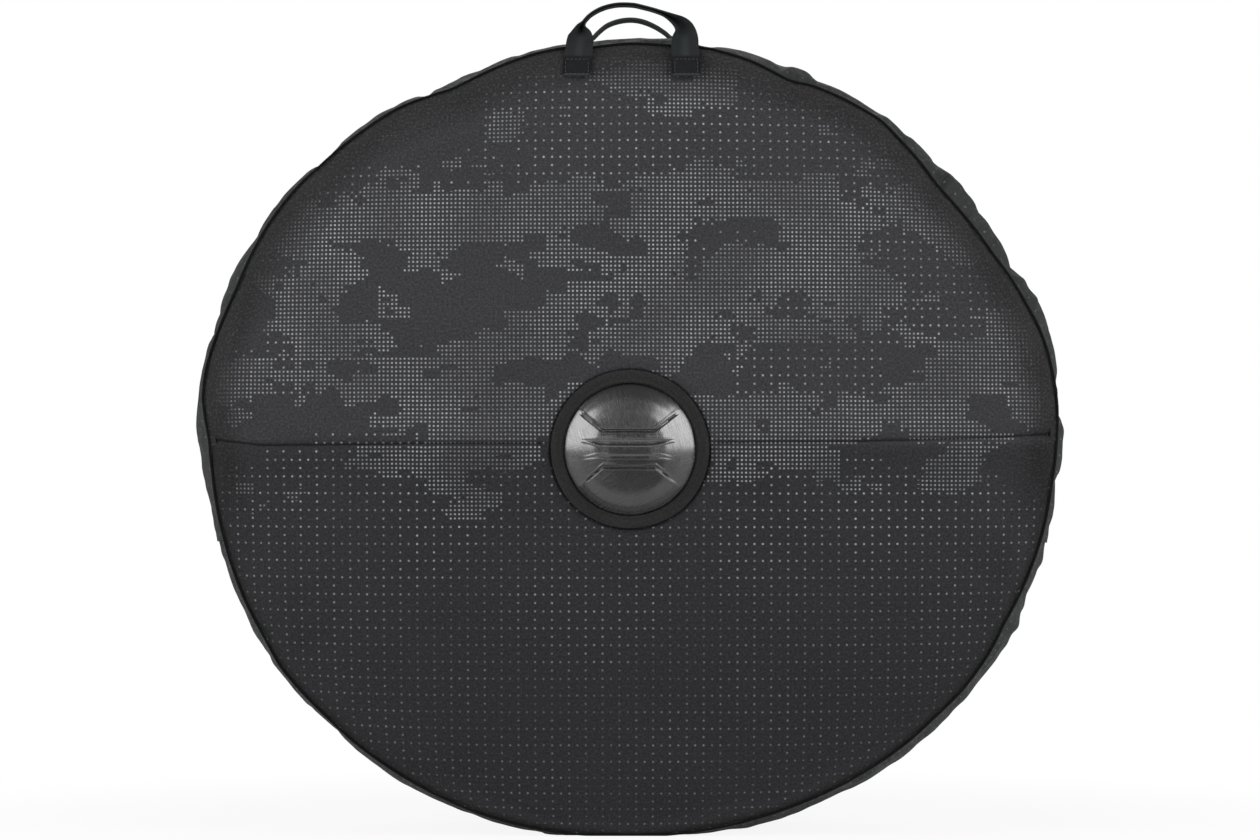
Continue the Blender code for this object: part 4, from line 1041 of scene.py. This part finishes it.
def foot_surface(turns, y):
    """Inset of the foot's cloth at these turns and distances from the middle: from a shallow valley where
    it takes the zip's end to a plain round wall, pressed flat underneath."""
    edge = np.where(y < 0, piping_inset(turns, -1), piping_inset(turns, 1)) + EDGE_LAP
    front, back = outline_out(turns, -1), outline_out(turns, 1)
    out = np.where(y < 0, front, back)
    out = out + ((front + back) / 2 - out) * np.exp(-((y / 0.02) ** 2))
    share = np.abs(y) / EDGE_Y
    rise = 1 - np.clip((share - 0.5) / 0.5, 0, 1) ** BULGE
    inset = edge * (1 - rise) - out * rise
    below = np.minimum(np.abs(turns - ZIP_END), np.abs(2 * pi - ZIP_END - turns))
    fall = ease(1 - share, 0.55, 0.92) * (1 - ease(below, 0.0, 0.22))
    return inset + (track_inset(turns) - TAPE_LIFT - inset) * fall


def make_foot(name, nodes):
    """The foot's gusset below the zip, from the front piping to the rear piping."""
    turns = np.linspace(ZIP_END, 2 * pi - ZIP_END, 380)
    half = EDGE_Y * joined_shares(np.linspace(1, 0.5, 16), np.linspace(0.5, 0.0, 8))
    y = np.concatenate([-half, half[::-1][1:]])
    t, across = np.broadcast_arrays(turns[:, None], y[None])
    share = 1 - np.abs(y) / EDGE_Y
    away = ease(share, 0.0, 0.12)[None]
    front, back = (gusset_relief(turns, side, share * 0.5, away) for side in (-1, 1))
    steady = 1 - 0.9 * np.exp(-(((t - pi) / 0.22) ** 2))
    calm = 1 - 0.7 * np.exp(-((y / 0.012) ** 2))
    relief = np.where(y < 0, front, back) * ease(share, 0.0, 0.08) * steady * calm
    inset = foot_surface(t, across) + relief - fullness(np.minimum(t, 2 * pi - t), share[None])
    points = oval(t, inset, across)
    points[..., 2] = np.maximum(points[..., 2], 0.0)
    ends = np.minimum(t - ZIP_END, 2 * pi - ZIP_END - t)
    held = np.maximum(1 - ease(share, 0.0, 0.10)[None], 1 - ease(ends, 0.0, 0.03))
    held = np.maximum(held, np.exp(-(((t - pi) / 0.2) ** 4)))
    amounts = {"pressure": -0.45, "spare": 0.02, "reach": 0.0035}
    points = settled_strip(name, points, held, turns, y, **amounts)
    points[..., 2] = np.maximum(points[..., 2], 0.0)
    return thick_strip(name, points, gusset_place(points, across), nodes)


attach(make_foot("foot_gusset", ("base_gusset_cloth", "base_gusset_padding")), "shell")


# Piping


def make_piping(name, side, nodes):
    """The piping cord round one panel, in its tight cloth."""
    sides = 12
    turns = np.radians(np.arange(0, 360, 0.6))
    line = piping_line(side, turns)
    line[..., 2] = np.maximum(line[..., 2], CORD_RADIUS)
    wobble = swell(turns * RIM_RADIUS, turns * 0.0, 0.03, 51 + side) * 0.0003
    line[..., 1] += side * (0.0002 + wobble)
    ahead = unit(np.roll(line, -1, axis=0) - np.roll(line, 1, axis=0))
    first = unit(np.cross(ahead, IN))
    points = rings(line, first, np.cross(ahead, first), CORD_RADIUS, sides)
    place = np.zeros(points.shape)
    place[..., 0] = run_length(line)[:, None]
    place[..., 1] = circle_angles(sides) * CORD_RADIUS
    made = closed_grid(name, points, trim, place, wrap_rows=True, wrap_columns=True)
    return stands_for(made, "trim", *nodes)


cross_fold(make_piping("front_piping_cord", -1, ("front_piping_upper", "front_piping_lower")))
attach(make_piping("rear_piping_cord", 1, ("rear_piping",)), "shell")


# Hub guards

# The guard's four pressed lines: corners in metres from its centre, depth, half width, lips and how much of
# the width is left at the ends
GROOVES = (
    (
        ((-0.0474, 0.0346), (-0.0266, 0.0179), (0.0233, 0.0179), (0.0459, 0.0352)),
        0.0017, 0.0013, 0.0004, 0.8,
    ),
    (
        ((-0.0460, 0.0092), (-0.0261, 0.0070), (0.0204, 0.0070), (0.0420, 0.0092)),
        0.0016, 0.0024, 0.0007, 0.1,
    ),
    (
        ((-0.0442, -0.0087), (-0.0299, -0.0064), (0.0271, -0.0064), (0.0394, -0.0087)),
        0.0007, 0.0011, 0.0003, 0.3,
    ),
    (
        ((-0.0460, -0.0334), (-0.0257, -0.0163), (0.0242, -0.0163), (0.0432, -0.0315)),
        0.0009, 0.0011, 0.0004, 0.4,
    ),
)


def dome_curve():
    """The dome's height from its middle to its rim, as shares of both, without corners."""
    fine = np.linspace(0, 1, 200)
    far, high = (0.0, 0.30, 0.55, 0.78, 0.92, 0.985, 1.0), (1.0, 0.968, 0.835, 0.565, 0.31, 0.13, 0.068)
    curve = np.interp(fine, far, high)
    for _ in range(60):
        curve[1:-1] = (curve[:-2] + 2 * curve[1:-1] + curve[2:]) / 4
        curve[0] = curve[1]
    return fine, curve


def dome_height(x, z):
    """Height of the guard over its flange: a shallow dome whose middle is pressed into bands."""
    far = np.hypot(x, z) / DOME_RADIUS
    plate = np.interp(np.abs(x), (0, 0.025, 0.047), (0.0179, 0.0179, 0.0350))
    lobe = np.maximum(ease(z - plate, 0.0, 0.0016), ease(-z - plate + 0.0016, 0.0, 0.0016) * 0.7)
    lobe = lobe * (1 - ease(far, 0.70, 0.97))
    flatter = 1 - (0.24 - 0.13 * ease(x, 0.0, 0.03)) * lobe
    foot = np.interp(np.abs(x), (0, 0.025, 0.045), (0.0163, 0.0163, 0.0325))
    lower = 1 - 0.30 * ease(-z - foot, 0.0, 0.0030) * (1 - ease(far, 0.60, 0.97))
    height = np.interp(np.hypot(x * flatter, z * lower) / DOME_RADIUS, *dome_curve()) * 0.022
    for corners, depth, half, lip, left in GROOVES:
        knots_x, knots_z = np.array(corners).T
        slope = np.interp(x, (knots_x[:-1] + knots_x[1:]) / 2, np.diff(knots_z) / np.diff(knots_x))
        away = np.abs(z - np.interp(x, knots_x, knots_z)) / np.sqrt(1 + slope**2)
        first, second, third, last = knots_x
        ends = ease(x, first - 0.002, first + 0.004) * (1 - ease(x, last - 0.004, last + 0.002))
        taper = ease(x, first, second) * (1 - ease(x, third, last))
        narrow = half * (left + (1 - left) * taper)
        height = height - depth * np.exp(-((away / narrow) ** 2)) * ends * narrow / half
        height = height + lip * np.exp(-(((away - narrow - 0.0010) / 0.0008) ** 2)) * ends
    return height


def make_guard(name, side, nodes):
    """The moulded dome, thin and hollow, with the flange that the ring holds down."""
    around = circle_angles(320)
    shares = np.concatenate([np.linspace(0.012, 0.86, 92), np.linspace(0.870, 1.0, 16)])
    radius = shares[:, None] * (DOME_RADIUS - 0.0002)
    outer = turned(radius, dome_height(radius * np.sin(around), radius * np.cos(around)), around)
    inner = outer[::-6].copy()
    inner[..., 1] = np.maximum(inner[..., 1] - 0.0024, 0.0001)
    inner[..., (0, 2)] *= 0.965
    flange = np.array([(0.0626, 0.0011), (0.0700, 0.0011), (0.0700, 0.0001), (0.0602, 0.0001)])
    points = np.concatenate([outer, turned(flange[:, :1], flange[:, 1:], around), inner], axis=0)
    points = at_hub(points, side, PANEL_FACE + CROWN + 0.0003)
    made = closed_grid(name, points, guard_plastic, sharp=60, wrap_columns=True, caps=True)
    return stands_for(made, "hub_guard", *nodes)


# Section of the cloth ring: radius and height, round its turned edges and its flat band
RING_SECTION = (
    (0.0633, 0.0014), (0.0631, 0.0023), (0.0636, 0.0030), (0.0647, 0.0034), (0.0660, 0.0033),
    (0.0666, 0.0030), (0.0674, 0.0032), (0.0700, 0.0035), (0.0722, 0.0034), (0.0728, 0.0031),
    (0.0734, 0.0033), (0.0741, 0.0031), (0.0745, 0.0022), (0.0744, 0.0006), (0.0740, 0.0000),
    (0.0706, 0.0000), (0.0706, 0.0013), (0.0640, 0.0013),
)


def make_ring(name, side, nodes):
    """The cloth ring over the guard's flange, and its two rows of stitches."""
    radius, height = np.array(RING_SECTION).T[..., None]
    around = circle_angles(240)
    lift = swell(around * 0.07, around * 0, 0.03, 61 + side) * 0.00025
    radius = radius + swell(around * 0.07, radius, 0.04, 63 + side) * 0.0002
    points = turned(radius, height + lift * (height > 0.002), around)
    place = flat_place(points)
    points = at_hub(points, side, PANEL_FACE + CROWN + 0.0003)
    ring = closed_grid(name, points, ring_cloth, place, wrap_rows=True, wrap_columns=True)
    stands_for(ring, "ring_cloth", *nodes)
    circle = np.linspace(0, 2 * pi, 361)
    rows = [turned(*row, circle) for row in ((0.0666, 0.0033), (0.0728, 0.0034))]
    lines = [at_hub(row, side, PANEL_FACE + CROWN) for row in rows]
    threads = stitches(name.replace("cloth", "stitches"), lines, side * IN, thread, 0.0024, 0.0010, 0.00032)
    return ring, threads


for word, side, body in FACES:
    guard = make_guard(f"{word}_guard_dome", side, (f"{word}_hub_guard",))
    ring, threads = make_ring(f"{word}_ring_cloth", side, (f"{word}_hub_ring",))
    for piece in (guard, ring, threads):
        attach(piece, body)


# Handles

# Places and heights of the sewn tabs, and the webbing's thickness and width
TAB_CENTRES = (-0.0505, 0.0535)
TAB_TOP = 0.7395
TAB_FOOT = 0.7232
HEM_TOP = 0.7246
STRAP = 0.0019
STRAP_WIDTH = 0.0262

# The handles in the photograph: pixel across and down of the webbing's spine, and how far each half folds
# forward from flat, in degrees
FRONT_LOOP = (
    (578.9, 53.0, 0), (579.2, 48.0, 4), (579.8, 43.0, 10), (580.6, 38.5, 22), (581.2, 34.5, 38),
    (581.4, 31.0, 52), (581.6, 28.0, 66), (582.2, 25.6, 78), (583.6, 23.2, 87), (586.2, 19.6, 89),
    (591.2, 14.9, 89), (599.6, 10.1, 88), (608.8, 6.9, 88), (619.6, 5.2, 88), (633.3, 5.6, 88),
    (642.5, 7.6, 88), (652.5, 10.2, 88), (664.0, 14.3, 85), (672.5, 18.6, 76), (678.8, 22.6, 64),
    (682.6, 26.6, 52), (684.4, 31.0, 40), (685.0, 35.5, 28), (685.0, 40.0, 16), (684.9, 45.0, 8),
    (685.0, 50.0, 3), (685.4, 54.0, 0),
)
REAR_LOOP = (
    (578.6, 56.0, 0), (578.8, 52.0, 8), (579.6, 48.5, 30), (581.6, 45.6, 56), (585.0, 43.0, 76),
    (589.4, 40.4, 86), (593.8, 37.4, 88), (598.6, 32.4, 88), (607.3, 25.5, 87), (618.8, 21.2, 86),
    (631.0, 19.8, 86), (642.5, 21.5, 86), (654.0, 26.2, 87), (664.0, 32.4, 88), (669.6, 37.2, 88),
    (674.0, 40.6, 84), (677.6, 43.6, 72), (680.2, 46.4, 50), (681.6, 49.4, 26), (682.0, 52.6, 8),
    (682.2, 56.0, 0),
)


def from_photo(px, py, depth):
    """A point that the camera sees at this place of the photograph, at this depth."""
    scale = (CAMERA_FAR + depth) / (CAMERA_FAR - SCALE_Y)
    return (px - 630) * PIXEL * scale, CAMERA_Z + (420 - py) * PIXEL * scale


def folded_webbing(name, spine, across, out, folds, nodes):
    """Webbing along its spine that can fold in two. Across runs along its width, out towards the side where
    its edges meet, and folds are the angles of its two halves from flat."""
    folds = folds[:, None]
    bend = STRAP_WIDTH * 0.06
    steps = np.array([0.0, 0.1, 0.22, 0.4, 0.6, 0.8, 0.95, 1.0])
    halves = np.array([1.0, 1.0, 1.0, 1.0, 1.0, 1.0, 0.9, 0.45]) * STRAP / 2
    faces, backs = [], []
    for sign in (-1, 1):
        face, back = [], []
        for step, half in zip(steps, halves):
            length = step * STRAP_WIDTH / 2
            arc = min(length, bend)
            angle = folds * arc / bend
            beside = arc * np.sinc(angle / pi) + (length - arc) * np.cos(folds)
            lifted = arc * (angle / 2) * np.sinc(angle / 2 / pi) ** 2 + (length - arc) * np.sin(folds)
            middle = spine + sign * across * beside + out * lifted
            normal = out * np.cos(angle) - sign * across * np.sin(angle)
            face.append(middle + normal * half)
            back.append(middle - normal * half)
        faces += face[::-1] if sign < 0 else face[1:]
        backs += back[::-1] if sign < 0 else back[1:]
    reach = np.concatenate([-steps[::-1], steps[1:]]) * STRAP_WIDTH / 2
    height = spine[:, 2:]
    # Loose and hemmed mark where the finish paints its highlights: paler loose webbing and a paler hem
    loose = ease(height, TAB_TOP - 0.001, TAB_TOP + 0.004)
    hemmed = 1 - ease(height, TAB_FOOT + 0.0008, TAB_FOOT + 0.0018)
    faces, backs = np.stack(faces, axis=1), np.stack(backs, axis=1)
    made = strap(name, faces, backs, run_length(spine), reach, webbing, 1 - loose + hemmed)
    return stands_for(made, "webbing", *nodes)


def tab_face(side, z):
    """How far out the panel's cloth lies under a tab at this height."""
    return side * (0.1016 + (0.739 - z) * 0.172 + 0.0003)


def hem_path(side, centre, top_x):
    """The webbing's end on the panel: down behind the tab, round its hem and up its face."""
    rows = []
    for z in (0.7370, 0.7320, 0.7270, HEM_TOP):
        rows.append((centre, tab_face(side, z) + side * STRAP * 0.5, z, 0))
    for degrees in (20, 55, 90, 125, 160):
        angle = radians(degrees)
        y = tab_face(side, TAB_FOOT) + side * STRAP * (1.02 - cos(angle) * 0.62)
        rows.append((centre, y, TAB_FOOT + 0.0011 - sin(angle) * STRAP * 0.55, 0))
    for z, lift in ((HEM_TOP, 1.66), (0.7262, 1.55), (0.7300, 1.52), (0.7350, 1.52), (TAB_TOP, 1.5)):
        share = (z - HEM_TOP) / (TAB_TOP - HEM_TOP)
        rows.append((centre + (top_x - centre) * share, tab_face(side, z) + side * STRAP * lift, z, 0))
    return rows


def tab_seam(side, centre):
    """The square of stitches on a tab."""
    left, right, top, foot = centre - 0.0108, centre + 0.0108, 0.7386, HEM_TOP
    corners = [(left, top), (right, top), (right, foot), (left, foot), (left, top)]
    path = []
    for (x0, z0), (x1, z1) in zip(corners, corners[1:]):
        for step in range(8):
            x, z = x0 + (x1 - x0) * step / 8, z0 + (z1 - z0) * step / 8
            path.append((x, tab_face(side, z) + side * (STRAP * 2.0 + 0.0003), z))
    return path


def one_way(vectors, aim):
    """These directions with none turned against the one before, and the middle one along this aim."""
    vectors = unit(vectors)
    turns = np.where((vectors[1:] * vectors[:-1]).sum(axis=1) < 0, -1, 1)
    vectors[1:] *= np.cumprod(turns)[:, None]
    return vectors if vectors[len(vectors) // 2] @ aim > 0 else -vectors


def make_handle(name, side, body, loop, nodes):
    """A webbing handle: flat where it is sewn on, folded in two over the hand's grip."""
    arch = []
    for px, py, fold in loop:
        x, z = from_photo(px, py, side * HANDLE_Y)
        back = 0.0065 * sin(radians(fold)) * ease(z, 0.757, 0.768)
        arch.append((x, side * (HANDLE_Y + 0.0007 - back), z, fold))
    left, right = (hem_path(side, centre, end[0]) for centre, end in zip(TAB_CENTRES, (arch[0], arch[-1])))
    line = smooth_path(left + arch + right[::-1], 6)
    spine, folds = line[:, :3], np.radians(np.clip(line[:, 3], 0, 89))
    ahead = np.gradient(spine, axis=0)
    sewn = spine[:, 2:] < 0.7560
    out = one_way(np.cross(RIGHT, np.where(sewn, ahead * (IN + UP), UP)), side * IN)
    across = one_way(np.where(sewn, RIGHT, np.cross(IN, ahead)), UP)
    across = unit(np.array([across[max(0, i - 3) : i + 4].mean(axis=0) for i in range(len(across))]))
    made = folded_webbing(name, spine, across, out, folds, nodes)
    seams = [tab_seam(side, centre) for centre in TAB_CENTRES]
    outward_tab = side * IN + 0.17 * UP
    seam_name = name.replace("webbing", "stitches")
    threads = stitches(seam_name, seams, outward_tab, tab_thread, 0.0026, 0.0011, 0.0004)
    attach(threads, body)
    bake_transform(made)


for (word, side, body), loop in zip(FACES, (FRONT_LOOP, REAR_LOOP)):
    nodes = (f"{word}_handle", f"{word}_left_handle_tab", f"{word}_right_handle_tab")
    make_handle(f"{word}_handle_webbing", side, body, loop, nodes)


# Zip


def make_tape(name, side, body, nodes):
    """The zip's tape along one strip of the gusset."""
    turns = np.linspace(-ZIP_END + 0.001, ZIP_END - 0.001, 260)
    across = np.linspace(0.0008, 0.0140, 8)
    lift = swell(turns[:, None] * RIM_RADIUS, across[None], 0.05, 71 + side) * 0.0002
    base = track_inset(turns)[:, None] - lift
    top, under = (oval(turns[:, None], base + depth, side * across) for depth in (0.0, 0.0010))
    made = strap(name, top, under, turns * RIM_RADIUS, across, tape_cloth)
    stands_for(made, "webbing", *nodes)
    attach(made, body)


# One loop of the coil: how far it is from the zip's middle, its height over the tape, and its radius
COIL_LOOP = (
    (0.0010, 0.0008, 0.00075), (0.0022, 0.0019, 0.0007), (0.0040, 0.0021, 0.00065),
    (0.0050, 0.0012, 0.0006), (0.0046, 0.0003, 0.0005),
)


def make_coil(name, side, body, nodes):
    """Half of the zip's chain: a coil whose loops lie side by side along the tape."""
    count = int(TRACK_RADIUS * radians(200) / 0.0021)
    turns = np.linspace(-ZIP_END + 0.004, ZIP_END - 0.004, count)
    step = turns[1] - turns[0]
    beside, height, girth = np.array(COIL_LOOP).T
    drift = np.linspace(-0.25, 0.25, len(COIL_LOOP)) * step
    loops = []
    for turn in turns + (0.5 * step if side > 0 else 0.0):
        centres = oval(turn + drift, track_inset(turn + drift) - height, side * beside)
        ahead = unit(np.gradient(centres, axis=0))
        way = unit(oval(turn + step, 0.0, 0.0) - oval(turn - step, 0.0, 0.0))
        loops.append(rings(centres, way, unit(np.cross(ahead, way)), girth))
    made = loose_cords(name, loops, coil)
    stands_for(made, "zip_chain", *nodes)
    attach(made, body)


for word, side, body in FACES:
    make_tape(f"{word}_zip_tape_cloth", side, body, (f"{word}_zip_tape",))
    make_coil(f"{word}_zip_coil", side, body, (f"{word}_zip_chain",))

for hand in ("left", "right"):
    for part in ("slider", "pull"):
        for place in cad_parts[f"{hand}_zip_{part}"].material_slots:
            place.material = slider_metal.material


def make_end_patch(name, sign, nodes):
    """A patch of webbing sewn over the end of the zip."""
    half = 0.016
    turns = ZIP_END + np.linspace(0.002, 0.131, 18)
    if sign < 0:
        turns = 2 * pi - turns
    y = np.linspace(-half, half, 12)
    t, across = np.broadcast_arrays(turns[:, None], y[None])
    base = foot_surface(t, across)
    lift = 0.0013 + 0.0009 * np.minimum(1, 8 * (1 - np.abs(across) / half))
    top, under = oval(t, base - lift, across), oval(t, base - 0.0002, across)
    made = strap(name, top, under, np.abs(turns - turns[0]) * RIM_RADIUS, y, webbing)
    stands_for(made, "webbing", *nodes)
    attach(made, "shell")


make_end_patch("right_end_patch", 1, ("right_zip_end_patch",))
make_end_patch("left_end_patch", -1, ("left_zip_end_patch",))


# Divider

DIVIDER_FOOT = 0.0069  # how high the divider's edge stands over the ground

# Section of the divider's binding: how far in from its outline, and from its middle
BINDING_SECTION = (
    (0.0, -0.0030), (0.0, 0.0030), (0.0012, 0.0042), (0.0085, 0.0044), (0.0085, 0.0040), (0.0016, 0.0036),
    (0.0010, 0.0), (0.0016, -0.0036), (0.0085, -0.0040), (0.0085, -0.0044), (0.0012, -0.0042),
)
# Section of the round patch at the divider's hub: radius and height
PATCH_SECTION = (
    (0.0005, 0.0016), (0.014, 0.0016), (0.028, 0.0016), (0.0372, 0.0015), (0.0385, 0.0019),
    (0.0396, 0.0014), (0.040, 0.0002), (0.0005, 0.0002),
)


def divider_edge(turn, extra):
    """The divider's outline: under the zip's arc, then out to the foot."""
    turn = (turn + pi) % (2 * pi) - pi
    below = np.clip(np.abs(turn) - ZIP_END, 0, None) / (pi - ZIP_END)
    room = track_inset(np.minimum(np.abs(turn), ZIP_END)) + 0.014
    line = oval(turn, room + (DIVIDER_FOOT - room) * below + extra, 0.0)
    line[..., 2] = np.maximum(line[..., 2], DIVIDER_FOOT + extra)
    return line


def make_pad():
    """The divider's padded board, thickest at its middle."""
    rim = divider_edge(np.radians(np.arange(0, 360, 3.0)), 0.0010)
    middle = np.array([0, 0, HUB_Z])
    shares = np.linspace(0.02, 1.0, 24)
    flat = middle + (rim - middle)[None] * shares[:, None, None]
    puff = 0.0034 * (1 - shares**6)[:, None] + 0.0006
    puff = puff + swell(flat[..., 0], flat[..., 2], 0.09, 81) * 0.0005 * (1 - shares**4)[:, None]
    bulge = puff[..., None] * IN
    loop = np.concatenate([flat - bulge, (flat + bulge)[::-1]], axis=0)
    pad = closed_grid("divider_pad", loop, divider_cloth, flat_place(loop), wrap_columns=True, caps=True)
    stands_for(pad, "foam", "divider_board")
    return pad


def make_binding():
    """The cloth bound round the divider's edge."""
    steps = np.radians(np.arange(0, 360, 1.5))
    points = np.stack([divider_edge(steps, inset) + y * IN for inset, y in BINDING_SECTION])
    place = np.zeros(points.shape)
    place[..., 0] = steps * 0.37
    place[..., 1] = np.arange(len(BINDING_SECTION))[:, None] * 0.004
    binding = closed_grid("divider_edge_binding", points, edge_trim, place, wrap_rows=True, wrap_columns=True)
    return stands_for(binding, "trim", "divider_binding")


def make_patch(word, side):
    """The patch against an axle's end on one side of the divider, and its stitches."""
    radius, height = np.array(PATCH_SECTION).T[..., None]
    points = turned(radius, height, circle_angles(96))
    place = flat_place(points)
    points = at_hub(points, side, 0.0036)
    name = f"divider_{word}_patch"
    disc = closed_grid(f"{name}_cloth", points, patch_cloth, place, wrap_columns=True, caps=True)
    stands_for(disc, "lining", name)
    line = at_hub(turned(0.0365, 0.0, np.linspace(0, 2 * pi, 181)), side, 0.0053)
    row = stitches(f"{name}_stitches", [line], side * IN, thread, 0.003, 0.0014, 0.0004)
    return disc, row


for piece in (make_pad(), make_binding(), *make_patch("front", -1), *make_patch("rear", 1)):
    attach(piece, "divider")


# Studio


def make_stage():
    """A pale paper floor, lit a little by itself so that it fades into the white behind."""
    paper = Finish("pale_paper", (0.82, 0.82, 0.82), 0.9)
    seen = paper.node("ShaderNodeLightPath", output="Is Camera Ray")
    mirrored = paper.node("ShaderNodeLightPath", output="Is Glossy Ray")
    glow = paper.node("ShaderNodeEmission", values={"Color": (1, 1, 1, 1), "Strength": 1.0})
    grain = paper.noise(paper.object_place(), 40.0, 2.0)
    paper.set("Base Color", paper.tint(grain * 0.1, (0.84, 0.84, 0.84), (0.80, 0.80, 0.80)))
    x, y, _ = paper.parts(paper.object_place())
    clear = ((x * x + y * y) ** 0.5).ramp(0.40, 0.95, 0.9, 1.0)
    surface = Signal(paper, paper.shader.outputs[0])
    values = {0: seen.most(mirrored * 0.3) * clear, 1: surface, 2: glow}
    mixed = paper.node("ShaderNodeMixShader", values=values)
    paper.join(paper.tree.nodes["Material Output"].inputs["Surface"], mixed)
    points = np.array([[(x, y, -0.0002) for x in (-3.0, 3.0)] for y in (-1.0, 0.2, 1.2)])
    grid_mesh("paper_floor", points, [paper])


def add_light(name, place, target, wide, tall, power):
    lamp = bpy.data.lights.new(name, "AREA")
    lamp.shape = "RECTANGLE"
    lamp.size = wide
    lamp.size_y = tall
    lamp.energy = power
    light = bpy.data.objects.new(name, lamp)
    light.location = place
    light.visible_camera = False
    light.rotation_euler = (Vector(target) - Vector(place)).to_track_quat("-Z", "Y").to_euler()
    scene.collection.objects.link(light)


def make_studio():
    world = bpy.data.worlds.new("studio")
    scene.world = world
    world.use_nodes = True
    tree = world.node_tree
    ground = tree.nodes["Background"]
    ground.inputs["Color"].default_value = (0.15, 0.15, 0.15, 1)
    white = tree.nodes.new("ShaderNodeBackground")
    white.inputs["Color"].default_value = (1, 1, 1, 1)
    path = tree.nodes.new("ShaderNodeLightPath")
    mix = tree.nodes.new("ShaderNodeMixShader")
    tree.links.new(path.outputs["Is Camera Ray"], mix.inputs[0])
    tree.links.new(ground.outputs[0], mix.inputs[1])
    tree.links.new(white.outputs[0], mix.inputs[2])
    tree.links.new(mix.outputs[0], tree.nodes["World Output"].inputs["Surface"])
    for word, x in (("left", -1.85), ("right", 1.85)):
        add_light(f"{word}_softbox", (x, -1.2, 1.47), (0, -0.1, 1.47), 2.7, 2.2, 60)
    add_light("back_softbox", (0.0, 1.9, 1.8), (0, 0, 0.4), 1.6, 0.8, 12)
    scene.view_settings.view_transform = "Standard"


def make_camera():
    lens = bpy.data.cameras.new("camera")
    lens.sensor_width = 36
    lens.lens = lens.sensor_width * (CAMERA_FAR - SCALE_Y) / (PICTURE_WIDTH * PIXEL)
    lens.clip_end = 60
    camera = bpy.data.objects.new("camera", lens)
    camera.location = (0, -CAMERA_FAR, CAMERA_Z)
    camera.rotation_euler = (pi / 2, 0, 0)
    scene.collection.objects.link(camera)
    scene.camera = camera


make_stage()
make_studio()
make_camera()
